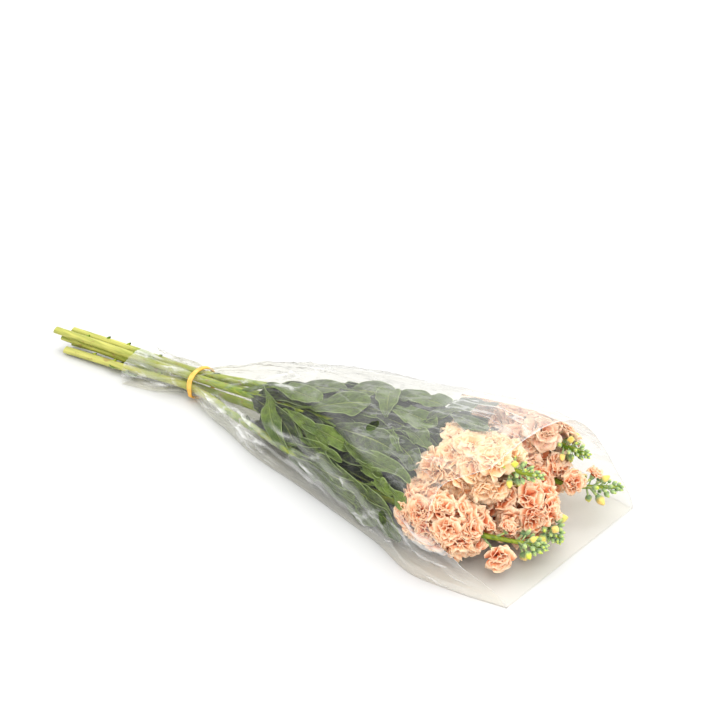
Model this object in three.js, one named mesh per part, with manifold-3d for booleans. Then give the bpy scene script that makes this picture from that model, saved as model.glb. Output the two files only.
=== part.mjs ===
// A bunch of five double stock stems in a clear film sleeve, held by a rubber band and lying on its side.
// Millimetres. X runs from the cut ends to the flowers, Y across the bunch, Z up from the surface it lies on.
import * as THREE from "three";
import { mergeVertices } from "three/addons/utils/BufferGeometryUtils.js";
import Module from "manifold-3d";

const wasm = await Module();
wasm.setup();

// Driving dimensions
const NECK_X = -127; // where the band grips the bunch
const TAIL_X = -205; // narrow end of the sleeve
const MOUTH_X = 325; // wide end of the sleeve, at its corners
const FILM = 0.7; // wall of the sleeve, thicker than real film so that it stays a solid
const NECK_FLOOR = 2.2; // the middle of the gathered neck stands this far off the surface
const NECK_LIFT = 7.5; // and its sides this far
const NECK_LENGTH = 12; // the neck is level over this length
const LIFT_REACH = 40; // the sleeve's underside comes down to the surface within this distance past it
const HOLE_DIAMETER = 12; // vent holes punched through the film
const ARCH_FAR = 0.66; // exponent of the upper layer's arch at the far side: near 1 it is round,
const ARCH_NEAR = 0.56; // and lower, as at the near side, it stands up steeply and is flat on top
const HEM_RISE = 2.5; // how late the lower layer curls up towards the sides of the neck
const BAND_WIDTH = 3.2;
const BAND_THICKNESS = 1.3;
const BAND_TILT = 1.6; // the band leans by this much each way along the bunch
const STEM_RADIUS = 4.2; // at the cut end
const STEM_WAIST_RADIUS = 3.9; // where the leaves are thickest
const STEM_HEAD_RADIUS = 3.1; // where the florets start
const STEM_TIP_RADIUS = 1.7;
const CUT_SLANT = 1.6; // the knife's slope across the cut end
const STALK_RADIUS = 1.3;
const STUB_RADIUS = 1.5;
const STUB_LENGTH = 5;
const LEAF_THICKNESS = 0.9;
const FLORET_RADIUS = 18;
const FLORET_SEAT = 10.5; // florets start this far out from the stem's centreline
const CORE_RADIUS = 16; // the heart of a bloom, where the florets run together
const CORE_END_RADIUS = 5.5;
const BUD_RADIUS = 3.4;
const BUD_LENGTH = 15;
const BUD_ROOT = 2; // a bud's stalk starts this far inside the stem
const GAP = 0.35; // between pieces that touch
const GROW = 0.95; // how much fatter a neighbour is made before it is cut out of a soft piece
const BORE_GAP = 0.5; // room round a stem that passes through another piece
const CLEAR = 1.3; // soft pieces stay this far inside the film
const SIDE_CLEAR = 1.5; // and this much further in at the sides, where the film stands up
const HEART = 0.38; // height in the sleeve, as a share, of the place that they are drawn towards
const SOFTNESS = 12; // a piece starts to give this far from the film
const MOST_GIVE = 0.3; // and never over more than this share of the way to it

const TURN = Math.PI * 2;
const GOLDEN_ANGLE = Math.PI * (3 - Math.sqrt(5));
const HALVINGS = 22;

// The sleeve's cross-sections: x, half-width on the near side, half-width on the far side, height
const SECTIONS = [
  [TAIL_X, 36, 21, 29],
  [-168, 27, 19.5, 26],
  [-133, 17.8, 17.5, 21],
  [-121, 17.8, 17.5, 21],
  [-108, 21.5, 22, 28],
  [-92, 26, 31, 38],
  [-60, 35, 50, 50],
  [0, 55, 72, 66],
  [60, 66, 86, 79],
  [114, 78, 92, 88],
  [179, 93, 98, 99],
  [239, 112, 104, 108],
  [280, 108, 105, 105],
  [MOUTH_X, 99.5, 99.5, 93],
];

// How far the upper layer's front edge stands back, from the far corner of the mouth (0) to the near one (1)
const RECESS = [
  [0, 0],
  [0.07, 26],
  [0.15, 40],
  [0.3, 47],
  [0.5, 47],
  [0.66, 50],
  [0.8, 80],
  [0.9, 79],
  [0.96, 50],
  [1, 0],
];

// Vent holes: the middle of each, and whether it is punched down through both layers or sideways
const HOLES = [
  { middle: [137, -46, 0], down: true },
  { middle: [190, -96, 32], down: false },
];
const PUNCH_LENGTH = 300; // cutting tools are this long
const PUNCH_SIDES = 16;
const SIDE_PUNCH = 0.2; // a sideways punch is this much of that length, so that it stops inside the sleeve

// Stem centrelines from the cut end to the tip, where the florets start and stop along x,
// and where the buds start
const STEMS = {
  a: {
    path: [
      [-319, -23, 20.5],
      [-220, -13, 21],
      [-127, -5.2, 21.8],
      [-40, -12, 34],
      [60, -26, 52],
      [150, -33, 65],
      [220, -28, 74],
      [270, -26, 79],
      [301, -21, 82],
    ],
    bloom: [190, 262],
    florets: 11,
    buds: 268,
  },
  b: {
    path: [
      [-310, -7, 16.5],
      [-220, 0, 19],
      [-127, 5.2, 21.8],
      [-40, 16, 32],
      [60, 36, 44],
      [150, 53, 55],
      [220, 61, 62],
      [270, 62, 62],
      [296, 62, 62],
    ],
    bloom: [176, 262],
    florets: 11,
    buds: 268,
  },
  c: {
    path: [
      [-306, -11, 5],
      [-220, 0.5, 8],
      [-127, 11.7, 11.5],
      [-40, 18, 17],
      [60, 24, 20],
      [150, 32, 24],
      [220, 44, 29],
      [259, 47, 33],
      [286, 51, 32],
      [303, 72, 27],
      [317, 89, 24],
    ],
    bloom: [212, 268],
    florets: 8,
    buds: 298,
  },
  d: {
    path: [
      [-300, -28, 5],
      [-220, -20, 8],
      [-127, -11, 11.8],
      [-40, -33, 17],
      [60, -56, 24],
      [150, -71, 33],
      [230, -77, 38],
      [268, -66, 33],
      [298, -45, 26],
      [317, -33, 23],
    ],
    bloom: [196, 270],
    florets: 11,
    buds: 300,
  },
  e: {
    path: [
      [-314, -18, 12],
      [-220, -9.5, 11],
      [-127, 0, 7.4],
      [-40, -5, 17],
      [60, -12, 24],
      [150, -18, 31],
      [240, -15, 39],
      [285, -10, 38],
      [303, -10, 29],
      [317, -10, 18],
    ],
    bloom: [244, 298],
    florets: 8,
    buds: 304,
  },
};

// Leaves that show through the upper layer: stem, x of the root, tip, width, swell of the middle to the film
const SHOWN_LEAVES = [
  ["a", -52, [50, -65, 14], 22, [12, -14, 24]],
  ["a", -40, [62, -34, 76], 28, [0, -4, 18]],
  ["a", -4, [98, 2, 94], 38, [-6, -14, 20]],
  ["a", 10, [116, -68, 66], 28, [-4, -10, 24]],
  ["a", 48, [152, -26, 104], 34, [-4, 4, 18]],
  ["a", 58, [178, -76, 84], 36, [-6, -8, 22]],
  ["a", 92, [196, -30, 108], 34, [-6, 6, 16]],
  ["a", 106, [206, -68, 92], 30, [-4, -8, 12]],
  ["a", 128, [234, 4, 114], 24, [0, -14, 18]],
  ["b", -34, [52, 4, 85], 28, [0, -8, 22]],
  ["b", 4, [104, 34, 92], 34, [0, -6, 24]],
  ["b", 38, [134, 8, 98], 36, [0, -14, 24]],
  ["b", 58, [152, 60, 88], 34, [0, 2, 20]],
  ["b", 80, [178, 12, 106], 36, [0, -12, 22]],
  ["b", 110, [216, 34, 112], 30, [0, -10, 26]],
  ["d", -30, [60, -72, 50], 26, [0, -8, 20]],
  ["d", 4, [100, -80, 38], 28, [0, -10, 12]],
  ["d", 40, [146, -92, 24], 30, [0, -14, 0]],
  ["d", 74, [176, -96, 56], 30, [0, -10, 16]],
  ["d", 100, [208, -98, 74], 30, [0, -6, 22]],
  ["d", 56, [188, -96, 36], 30, [0, -14, 4]],
  ["a", 116, [204, -60, 62], 26, [0, -10, 2]],
  ["d", 110, [206, -92, 52], 24, [0, -8, 10]],
  ["e", -14, [98, -58, 38], 28, [0, -12, 16]],
];

// Leaves on the far side and underneath, spread by rule: stem, first root, last root, count, turn round it
const HIDDEN_LEAVES = [
  ["b", 0, 110, 2, 0.1],
  ["c", -40, 140, 4, -0.3],
  ["e", -30, 150, 4, -1.5],
];
const HIDDEN_LENGTH = [92, 118];
const HIDDEN_WIDTH = [24, 30];
const HIDDEN_LEAN = [0.42, 0.67]; // angle to the stem
const HIDDEN_SPREAD = [-0.45, 0.55]; // every second one is turned the other way
const HIDDEN_SWELL = 0.1;

// Florets that stand apart from their bloom: stem, x of the stalk's root, base of the floret, axis, size
const LONE_FLORETS = {
  floret_c_lower: ["c", 276, [286, 52, 38], [0.5, 0.15, 0.85], 0.62],
  floret_c_upper: ["c", 291, [298, 67, 36.5], [0.35, 0.45, 0.8], 0.44],
  floret_d_lower: ["d", 272, [284, -65, 20], [0.8, -0.15, -0.3], 0.74],
  floret_d_upper: ["d", 279, [288, -51, 35], [0.4, 0.2, 0.9], 0.45],
};
const STALK_SAG = 3; // a stalk leaves its stem this far below the straight line
const STALK_BEND = 0.6;
const STALK_SIDES = 5;
const STALK_STEPS = 3;

// Which stem is finished first: each later one gives way to the ones before it
const ORDER = ["a", "d", "b", "e", "c"];

const STEM_GREEN = new THREE.MeshStandardMaterial({ color: 0x9db356, roughness: 0.6, metalness: 0 });
const PALE_PEACH = new THREE.MeshStandardMaterial({ color: 0xf6cdb4, roughness: 0.8, metalness: 0 });
const PEACH = new THREE.MeshStandardMaterial({ color: 0xf2b094, roughness: 0.8, metalness: 0 });
const CLEAR_FILM = new THREE.MeshStandardMaterial({
  color: 0xf4f6f6,
  roughness: 0.12,
  metalness: 0,
  transparent: true,
  opacity: 0.25,
});
const BAND_RUBBER = new THREE.MeshStandardMaterial({ color: 0xd8a13c, roughness: 0.55, metalness: 0 });

// Repeatable random numbers from 0 to 1
function makeDraw(seed) {
  let state = seed;
  return () => {
    state = (state + 0x6d2b79f5) | 0;
    let mixed = Math.imul(state ^ (state >>> 15), 1 | state);
    mixed = (mixed + Math.imul(mixed ^ (mixed >>> 7), 61 | mixed)) ^ mixed;
    return ((mixed ^ (mixed >>> 14)) >>> 0) / 2 ** 32;
  };
}

// The value at x of a smooth line through knots, each [x, ...values]
function through(knots, x, column = 1) {
  const last = knots.length - 1;
  if (x <= knots[0][0]) return knots[0][column];
  if (x >= knots[last][0]) return knots[last][column];
  const at = knots.findIndex((knot, i) => i < last && x < knots[i + 1][0]);
  const climb = (i) => (knots[i + 1][column] - knots[i][column]) / (knots[i + 1][0] - knots[i][0]);
  // flat at a top, at a bottom and beside a level stretch, so that the line never overshoots its knots
  const slope = (i) => {
    const before = climb(Math.max(0, i - 1));
    const after = climb(Math.min(last - 1, i));
    return before * after > 0 ? (2 * before * after) / (before + after) : 0;
  };
  const span = knots[at + 1][0] - knots[at][0];
  const t = (x - knots[at][0]) / span;
  const level = THREE.MathUtils.lerp(knots[at][column], knots[at + 1][column], 3 * t ** 2 - 2 * t ** 3);
  const leaning = slope(at) * (t ** 3 - 2 * t ** 2 + t) + slope(at + 1) * (t ** 3 - t ** 2);
  return level + leaning * span;
}

// The sleeve's form at x
function section(x) {
  const near = through(SECTIONS, x, 1);
  const far = through(SECTIONS, x, 2);
  const beyond = Math.max(0, Math.abs(x - NECK_X) - NECK_LENGTH / 2);
  const bare = Math.max(0, 1 - (beyond / LIFT_REACH) ** 2);
  return {
    middle: (far - near) / 2,
    half: (far + near) / 2,
    height: through(SECTIONS, x, 3),
    lift: NECK_LIFT * bare * bare,
    floor: NECK_FLOOR * bare * bare,
  };
}

// Exponent of the arch at an angle round it, from the far side (0) to the near one
function archPower(angle) {
  return THREE.MathUtils.lerp(ARCH_FAR, ARCH_NEAR, THREE.MathUtils.smoothstep(angle / Math.PI, 0, 1));
}

// The greatest value from 0 to a limit for which a test holds, when it holds up to there and not past it
function lastTrue(test, limit) {
  let low = 0;
  let high = limit;
  for (let i = 0; i < HALVINGS; i++) {
    const middle = (low + high) / 2;
    if (test(middle)) low = middle;
    else high = middle;
  }
  return low;
}

// True where a point lies inside the section at x drawn in by a margin
function isInside(form, y, z, margin) {
  const across = (y - form.middle) / (form.half - margin - SIDE_CLEAR);
  if (Math.abs(across) >= 1 || z < form.lift + margin) return false;
  const angle = Math.acos(across);
  return z < form.lift + (form.height - margin) * Math.sin(angle) ** archPower(angle);
}

// Leaves a value alone up to a soft zone and lets it come no further than the limit
function ease(value, limit, soft) {
  const start = limit - soft;
  if (value <= start) return value;
  return start + soft * (1 - Math.exp(-(value - start) / soft));
}

// Draws a point towards the middle of the room inside the film, so that leaves and florets lie against it,
// the later layers deeper
function press(point, layer = 0, softness = SOFTNESS) {
  const form = section(point.x);
  const margin = FILM + CLEAR + layer;
  const heart = form.lift + form.height * HEART;
  const y = point.y - form.middle;
  const z = point.z - heart;
  const reach = Math.hypot(y, z);
  if (reach < 1) return point;
  const fits = (far) => isInside(form, form.middle + (y / reach) * far, heart + (z / reach) * far, margin);
  const room = lastTrue(fits, form.half + form.height);
  const eased = ease(reach, room, Math.min(softness, room * MOST_GIVE));
  point.y = form.middle + (y / reach) * eased;
  point.z = heart + (z / reach) * eased;
  return point;
}

// Moves every vertex of a geometry by a rule
function moveVertices(geometry, rule) {
  const position = geometry.getAttribute("position");
  const point = new THREE.Vector3();
  for (let i = 0; i < position.count; i++) {
    point.fromBufferAttribute(position, i);
    rule(point, i);
    position.setXYZ(i, point.x, point.y, point.z);
  }
  return geometry;
}

// One shared vertex for each place
function welded(geometry) {
  const bare = geometry.clone();
  bare.deleteAttribute("normal");
  bare.deleteAttribute("uv");
  return mergeVertices(bare, 1e-3);
}

// Directions to move each vertex so that the faces round it all move out by one unit
function mitredNormals(geometry) {
  const position = geometry.getAttribute("position");
  const index = geometry.index.array;
  const corners = Array.from({ length: position.count }, () => []);
  const [a, b, c] = [new THREE.Vector3(), new THREE.Vector3(), new THREE.Vector3()];
  for (let i = 0; i < index.length; i += 3) {
    const places = [a, b, c];
    places.forEach((place, k) => place.fromBufferAttribute(position, index[i + k]));
    const normal = b.clone().sub(a).cross(c.clone().sub(a)).normalize();
    places.forEach((place, k) => {
      const next = places[(k + 1) % 3].clone().sub(place);
      const previous = places[(k + 2) % 3].clone().sub(place);
      corners[index[i + k]].push({ normal, angle: next.angleTo(previous) });
    });
  }
  return corners.map((faces) => {
    const sum = new THREE.Vector3();
    faces.forEach(({ normal, angle }) => sum.addScaledVector(normal, angle));
    sum.normalize();
    const total = faces.reduce((angles, { angle }) => angles + angle, 0);
    const lean = faces.reduce((share, { normal, angle }) => share + (normal.dot(sum) * angle) / total, 0);
    return sum.multiplyScalar(1 / Math.max(0.5, lean));
  });
}

// The same closed surface, stood off by a distance
function grown(geometry, distance) {
  const copy = geometry.clone();
  const normals = mitredNormals(copy);
  return moveVertices(copy, (point, i) => point.addScaledVector(normals[i], distance));
}

// A closed blade or wall from an open sheet: both faces are split into the same triangles
function thickened(sheet, outward, inward) {
  const normals = mitredNormals(sheet);
  const outer = sheet.getAttribute("position").array;
  const index = [...sheet.index.array];
  const count = outer.length / 3;
  const places = new Float32Array(outer.length * 2);
  for (let i = 0; i < count; i++) {
    for (let k = 0; k < 3; k++) {
      const along = normals[i].getComponent(k);
      places[i * 3 + k] = outer[i * 3 + k] + along * outward;
      places[(i + count) * 3 + k] = outer[i * 3 + k] - along * inward;
    }
  }
  const edges = new Map();
  const faces = [];
  for (let i = 0; i < index.length; i += 3) {
    const [p, q, r] = index.slice(i, i + 3);
    faces.push(p, q, r, p + count, r + count, q + count);
    for (const [from, to] of [[p, q], [q, r], [r, p]]) {
      if (edges.has(`${to},${from}`)) edges.delete(`${to},${from}`);
      else edges.set(`${from},${to}`, [from, to]);
    }
  }
  for (const [from, to] of edges.values()) {
    faces.push(from, from + count, to, to, from + count, to + count);
  }
  const solid = new THREE.BufferGeometry();
  solid.setAttribute("position", new THREE.BufferAttribute(places, 3));
  solid.setIndex(faces);
  return solid;
}

// Solid for cutting and joining
function toSolid(geometry) {
  const merged = welded(geometry);
  return new wasm.Manifold(
    new wasm.Mesh({
      numProp: 3,
      vertProperties: merged.getAttribute("position").array,
      triVerts: new Uint32Array(merged.index.array),
    }),
  );
}

function union(solids) {
  return solids.reduce((sum, solid) => sum.add(solid));
}

// The biggest piece of a solid that cutting has split
function mainBody(solid) {
  return solid.decompose().reduce((best, body) => (body.volume() > best.volume() ? body : best));
}

function toMesh(name, solid, material) {
  const { numProp, vertProperties, triVerts } = solid.getMesh();
  const count = vertProperties.length / numProp;
  const places = new Float32Array(count * 3);
  for (let i = 0; i < count; i++) {
    places.set(vertProperties.subarray(i * numProp, i * numProp + 3), i * 3);
  }
  const geometry = new THREE.BufferGeometry();
  geometry.setAttribute("position", new THREE.BufferAttribute(places, 3));
  geometry.setIndex(new THREE.BufferAttribute(triVerts, 1));
  geometry.computeVertexNormals();
  const mesh = new THREE.Mesh(geometry, material);
  mesh.name = name;
  return mesh;
}

// Sleeve: upper layer as an arch from the far corner to the near one, lower layer flat on the surface
const ARCH_SHARES = [0, 0.035, 0.1, 0.19, 0.29, 0.39, 0.5, 0.6, 0.7, 0.8, 0.88, 0.945, 0.982];
const ARCH_ANGLES = ARCH_SHARES.map((share) => share * Math.PI);
const FLAT_STEPS = 4;
const NECK_STATIONS = [TAIL_X, -180, -155, -133, -121, -108, -92, -60, -20];
const STATIONS = [...NECK_STATIONS, 20, 60, 100, 140, 179, 215, 250, 285, MOUTH_X];
const STRAIGHT_END = -20; // past here the rings lean more and more, up to the mouth's own edge

const SLEEVE_TURNS = ARCH_ANGLES.length + FLAT_STEPS;

// A point of the sleeve's outside: which way round, and where along x
function sleevePoint(turn, x) {
  const { middle, half, height, lift, floor } = section(x);
  if (turn < ARCH_ANGLES.length) {
    const angle = ARCH_ANGLES[turn];
    const up = Math.sin(angle) ** archPower(angle);
    return new THREE.Vector3(x, middle + half * Math.cos(angle), lift + height * up);
  }
  const across = (2 * (turn - ARCH_ANGLES.length)) / FLAT_STEPS - 1;
  const rise = Math.abs(across) ** HEM_RISE;
  return new THREE.Vector3(x, middle + half * across, THREE.MathUtils.lerp(floor, lift, rise));
}

// Where along x a ring of the sleeve lies at each way round, drawn back as the mouth's edge is
function ringX(station, turn) {
  if (turn >= ARCH_ANGLES.length) return station;
  const share = Math.max(0, (station - STRAIGHT_END) / (MOUTH_X - STRAIGHT_END));
  return station - share * through(RECESS, ARCH_ANGLES[turn] / Math.PI);
}

function makeSleeve() {
  const steps = STATIONS.length - 1;
  const sheet = new THREE.PlaneGeometry(1, 1, SLEEVE_TURNS, steps);
  moveVertices(sheet, (point) => {
    const turn = Math.round((point.x + 0.5) * SLEEVE_TURNS) % SLEEVE_TURNS;
    const station = STATIONS[Math.round((point.y + 0.5) * steps)];
    point.copy(sleevePoint(turn, ringX(station, turn)));
  });
  const punches = HOLES.map(({ middle, down }) => {
    const length = down ? PUNCH_LENGTH : PUNCH_LENGTH * SIDE_PUNCH;
    const punch = new THREE.CylinderGeometry(HOLE_DIAMETER / 2, HOLE_DIAMETER / 2, length, PUNCH_SIDES);
    if (down) punch.rotateX(Math.PI / 2);
    return toSolid(punch.translate(...middle));
  });
  return toSolid(thickened(welded(sheet), 0, FILM)).subtract(union(punches));
}

// Rubber band: a flat strip round the gathered neck
function makeBand() {
  const strip = new THREE.PlaneGeometry(1, 1, SLEEVE_TURNS, 1);
  moveVertices(strip, (point) => {
    const turn = Math.round((point.x + 0.5) * SLEEVE_TURNS) % SLEEVE_TURNS;
    const along = point.y * BAND_WIDTH;
    point.copy(sleevePoint(turn, NECK_X));
    const lean = BAND_TILT * (1 - (2 * point.z) / section(NECK_X).height);
    point.x = NECK_X + along + lean;
  });
  return toSolid(thickened(welded(strip), GAP + BAND_THICKNESS, -GAP));
}

// Stems: radius at x
const STEM_SIDES = 8;
const STEM_TAPER = [
  [-320, STEM_RADIUS],
  [110, STEM_WAIST_RADIUS],
  [240, STEM_HEAD_RADIUS],
  [317, STEM_TIP_RADIUS],
];

function curveThrough(points) {
  return new THREE.CatmullRomCurve3(points.map((place) => new THREE.Vector3(...place)));
}

const CURVES = Object.fromEntries(Object.entries(STEMS).map(([key, { path }]) => [key, curveThrough(path)]));

// Direction square to a stem, turned round it from sideways (0) towards up
function sideways(tangent, turn) {
  const across = new THREE.Vector3(-tangent.y, tangent.x, 0).normalize();
  const upward = tangent.clone().cross(across);
  return across.multiplyScalar(Math.cos(turn)).addScaledVector(upward, Math.sin(turn));
}

// Tube of changing radius along a curve, closed at both ends
function makeTube(curve, radiusAt, sides, steps, slant = 0) {
  const tube = new THREE.CylinderGeometry(1, 1, 1, sides, steps);
  return moveVertices(tube, (point) => {
    const { x, y, z } = point;
    const share = y + 0.5;
    const tangent = curve.getTangent(share);
    point.copy(curve.getPoint(share));
    const radius = radiusAt(point.x, share);
    point.addScaledVector(sideways(tangent, 0), x * radius);
    point.addScaledVector(sideways(tangent, -Math.PI / 2), z * radius);
    if (share === 0) point.addScaledVector(tangent, z * slant);
  });
}

// A stem has a ring at each knot of its path and half way between them, so bends get more rings
function stemTube(key, extra = 0) {
  const steps = 2 * (STEMS[key].path.length - 1);
  return makeTube(CURVES[key], (x) => through(STEM_TAPER, x) + extra, STEM_SIDES, steps, CUT_SLANT);
}

// How far along a stem, from 0 to 1, it passes x
function alongAt(curve, x) {
  return lastTrue((along) => curve.getPointAt(along).x < x, 1);
}

// Turns a geometry's own axis, +Y, to a direction and moves its base to a place
function place(geometry, direction, base) {
  geometry.applyQuaternion(new THREE.Quaternion().setFromUnitVectors(new THREE.Vector3(0, 1, 0), direction));
  return geometry.translate(...base);
}

// Direction that faces out of the bunch at a point
function outwardAt(point) {
  const { middle, half, height } = section(point.x);
  const y = (point.y - middle) / half ** 2;
  const z = (point.z - height * OUTWARD_CENTRE) / height ** 2;
  return new THREE.Vector3(0, y, z).normalize();
}

// Leaves
const LEAF_ROWS = [0, 0.2, 0.45, 0.7, 0.9, 1];
const LEAF_STALK = 1.5; // half-width where the blade starts
const LEAF_TIP = 1.2;
const LEAF_FOLD = 0.16; // the blade's sides rise by this share of its half-width
const LEAF_WAVE = 2;
const LEAF_WAVES = [1.4, 2.4]; // waves along an edge
const LEAF_MIDDLE = 0.55; // the blade faces out of the bunch at this share of its length
const OUTWARD_CENTRE = 0.25; // height, as a share of the sleeve's, that the leaves face away from
const LAYER_STEP = 1.6; // leaves that lie over each other against the film are this far apart
const LAYERS = 4;
const LEAF_SOFTNESS = 7;

const LEAF_ROOT_POWER = 0.9;
const LEAF_TIP_POWER = 0.45;

// Half-width of a blade of unit half-width: narrow at the root, widest two thirds out, blunt at the tip
function leafShape(along) {
  const form = (share) => share ** LEAF_ROOT_POWER * (1 - share) ** LEAF_TIP_POWER;
  return form(along) / form(LEAF_ROOT_POWER / (LEAF_ROOT_POWER + LEAF_TIP_POWER));
}

function makeLeaf({ root, tip, width, swell, waves, phase, layer }) {
  const middle = root.clone().lerp(tip, 0.5).addScaledVector(swell, 2);
  const rib = new THREE.QuadraticBezierCurve3(root, middle, tip);
  const facing = outwardAt(rib.getPoint(LEAF_MIDDLE));
  const sheet = new THREE.PlaneGeometry(1, 1, 2, LEAF_ROWS.length - 1);
  moveVertices(sheet, (point) => {
    const side = Math.sign(Math.round(point.x * 2));
    const along = LEAF_ROWS[Math.round((point.y + 0.5) * (LEAF_ROWS.length - 1))];
    const tangent = rib.getTangent(along);
    const across = tangent.clone().cross(facing).normalize();
    const face = across.clone().cross(tangent);
    const ends = THREE.MathUtils.lerp(LEAF_STALK, LEAF_TIP, along);
    const reach = Math.max(ends, (width / 2) * leafShape(along));
    const ripple = LEAF_WAVE * Math.sin(TURN * waves * along + phase + side) * Math.sin(Math.PI * along);
    point.copy(rib.getPoint(along));
    point.addScaledVector(across, side * reach);
    point.addScaledVector(face, Math.abs(side) * (reach * LEAF_FOLD + ripple));
    press(point, layer, LEAF_SOFTNESS);
  });
  return thickened(welded(sheet), LEAF_THICKNESS / 2, LEAF_THICKNESS / 2);
}

function leavesOf(key) {
  const curve = CURVES[key];
  const draw = makeDraw(key.charCodeAt(0) * 7);
  const leaves = [];
  for (const [i, [stem, x, tip, width, swell]] of SHOWN_LEAVES.entries()) {
    if (stem !== key) continue;
    leaves.push({
      layer: (i % LAYERS) * LAYER_STEP,
      root: curve.getPointAt(alongAt(curve, x)),
      tip: new THREE.Vector3(...tip),
      width,
      swell: new THREE.Vector3(...swell),
      waves: THREE.MathUtils.lerp(...LEAF_WAVES, draw()),
      phase: draw() * TURN,
    });
  }
  for (const [stem, first, last, count, turn] of HIDDEN_LEAVES) {
    if (stem !== key) continue;
    for (let i = 0; i < count; i++) {
      const share = count > 1 ? i / (count - 1) : 0;
      const along = alongAt(curve, THREE.MathUtils.lerp(first, last, share));
      const root = curve.getPointAt(along);
      const tangent = curve.getTangentAt(along);
      const length = THREE.MathUtils.lerp(...HIDDEN_LENGTH, draw());
      const out = sideways(tangent, turn + HIDDEN_SPREAD[i % 2]);
      const lean = THREE.MathUtils.lerp(...HIDDEN_LEAN, draw());
      const tip = root.clone().addScaledVector(tangent, length * Math.cos(lean));
      tip.addScaledVector(out, length * Math.sin(lean));
      leaves.push({
        root,
        tip,
        width: THREE.MathUtils.lerp(...HIDDEN_WIDTH, draw()),
        swell: out.multiplyScalar(length * HIDDEN_SWELL),
        layer: (i % LAYERS) * LAYER_STEP,
        waves: THREE.MathUtils.lerp(...LEAF_WAVES, draw()),
        phase: draw() * TURN,
      });
    }
  }
  return leaves.map(makeLeaf);
}

// Buds round the tip of a stem, smaller towards its end. Out and up, as shares of the radius and the length
const BUD_PROFILE = [
  [0.34, 0.22],
  [1, 0.6],
  [0.84, 0.88],
  [0, 1.08],
];
const BUDS_PER_TIP = 7;
const BUD_SIDES = 5;
const BUD_SIZES = [1.02, 0.6];
const BUD_LEAN = [0.5, 1.25]; // from nearly square to the stem to nearly along it
const BUD_LEAN_POWER = 1.5;
const BUD_SCATTER = 0.4;
const LAST_BUD = 0.995;

function makeBud(base, axis, size) {
  const outline = BUD_PROFILE.map(([out, up]) => new THREE.Vector2(out * BUD_RADIUS, up * BUD_LENGTH));
  outline.forEach((knot) => knot.multiplyScalar(size));
  const bud = new THREE.LatheGeometry([new THREE.Vector2(0, -BUD_ROOT), ...outline], BUD_SIDES);
  return moveVertices(welded(place(bud, axis, base)), (point) => press(point));
}

function budsOf(key) {
  const curve = CURVES[key];
  const start = alongAt(curve, STEMS[key].buds);
  const draw = makeDraw(key.charCodeAt(0) * 13);
  return Array.from({ length: BUDS_PER_TIP }, (_, i) => {
    const share = i / (BUDS_PER_TIP - 1);
    const along = THREE.MathUtils.lerp(start, LAST_BUD, share);
    const tangent = curve.getTangentAt(along);
    const lean = THREE.MathUtils.lerp(...BUD_LEAN, share ** BUD_LEAN_POWER);
    const out = sideways(tangent, i * GOLDEN_ANGLE + draw() * BUD_SCATTER);
    const axis = out.multiplyScalar(Math.cos(lean)).addScaledVector(tangent, Math.sin(lean)).normalize();
    return makeBud(curve.getPointAt(along), axis, THREE.MathUtils.lerp(...BUD_SIZES, share));
  });
}

// Stubs of the leaves that were stripped off below the band
const STUBS_PER_STEM = 3;
const STUBS_START = -282;
const STUB_SPACING = 46;
const STUB_SCATTER = 26;
const STUB_TURN = [0.5, 2.7]; // round the stem, on its upper side
const STUB_LEAN = 1.1;
const STUB_SIDES = 4;
const STUB_SEAT = 0.8; // share of the stem's radius

function stubsOf(key) {
  const curve = CURVES[key];
  const draw = makeDraw(key.charCodeAt(0) * 31);
  return Array.from({ length: STUBS_PER_STEM }, (_, i) => {
    const along = alongAt(curve, STUBS_START + i * STUB_SPACING + draw() * STUB_SCATTER);
    const tangent = curve.getTangentAt(along);
    const out = sideways(tangent, THREE.MathUtils.lerp(...STUB_TURN, draw()));
    const axis = out.clone().addScaledVector(tangent, STUB_LEAN).normalize();
    const base = curve.getPointAt(along).addScaledVector(out, STEM_RADIUS * STUB_SEAT);
    return place(new THREE.ConeGeometry(STUB_RADIUS, STUB_LENGTH, STUB_SIDES), axis, base);
  });
}

// Florets: a ruffled double rosette in three layers, from the base to the crown. Out, up, depth of its lobes
const FLORET_PROFILE = [
  [0, 0, 0],
  [1, 0.6, 0.13],
  [0.46, 0.7, 0.04],
  [0.68, 1.02, 0.16],
  [0, 0.86, 0],
];
const FLORET_SIDES = 10;
const FLORET_RUFFLE = 1.7;
const FLORET_RUFFLES = 3;
const FLORET_LOBES = 5;
const LAYER_TWIST = 2.2; // each layer's lobes are turned by this from the one below

function makeFloret(base, axis, size, draw) {
  const outline = FLORET_PROFILE.map(([out, up]) => new THREE.Vector2(out, up));
  outline.forEach((knot) => knot.multiplyScalar(FLORET_RADIUS * size));
  const floret = new THREE.LatheGeometry(outline, FLORET_SIDES);
  const uv = floret.getAttribute("uv");
  const phases = FLORET_PROFILE.map(() => draw() * TURN);
  moveVertices(floret, (point, i) => {
    const layer = Math.round(uv.getY(i) * (FLORET_PROFILE.length - 1));
    const lobe = FLORET_PROFILE[layer][2];
    const angle = uv.getX(i) * TURN;
    const reach = 1 + lobe * Math.cos(FLORET_LOBES * angle + layer * LAYER_TWIST);
    point.x *= reach;
    point.z *= reach;
    if (lobe > 0) point.y += FLORET_RUFFLE * size * Math.sin(FLORET_RUFFLES * angle + phases[layer]);
  });
  return moveVertices(welded(place(floret, axis, base)), (point) => press(point));
}

// Blooms: florets spiral up the stem and turn from backwards to forwards
const BLOOM_ENDS = 0.1; // share of the bloom's length left clear of floret bases at each end
const FLORET_LEAN = [-0.35, 0.85];
const FLORET_TURN = 0.6; // where the spiral starts
const FLORET_SHRINK = 0.28; // how fast florets get smaller over the upper half
const CORE_STEPS = 5;
const CORE_KNOTS = 9;
const CORE_POWER = 0.7; // the heart keeps its width almost to its ends
const CORE_ENDS = 0.08;

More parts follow.
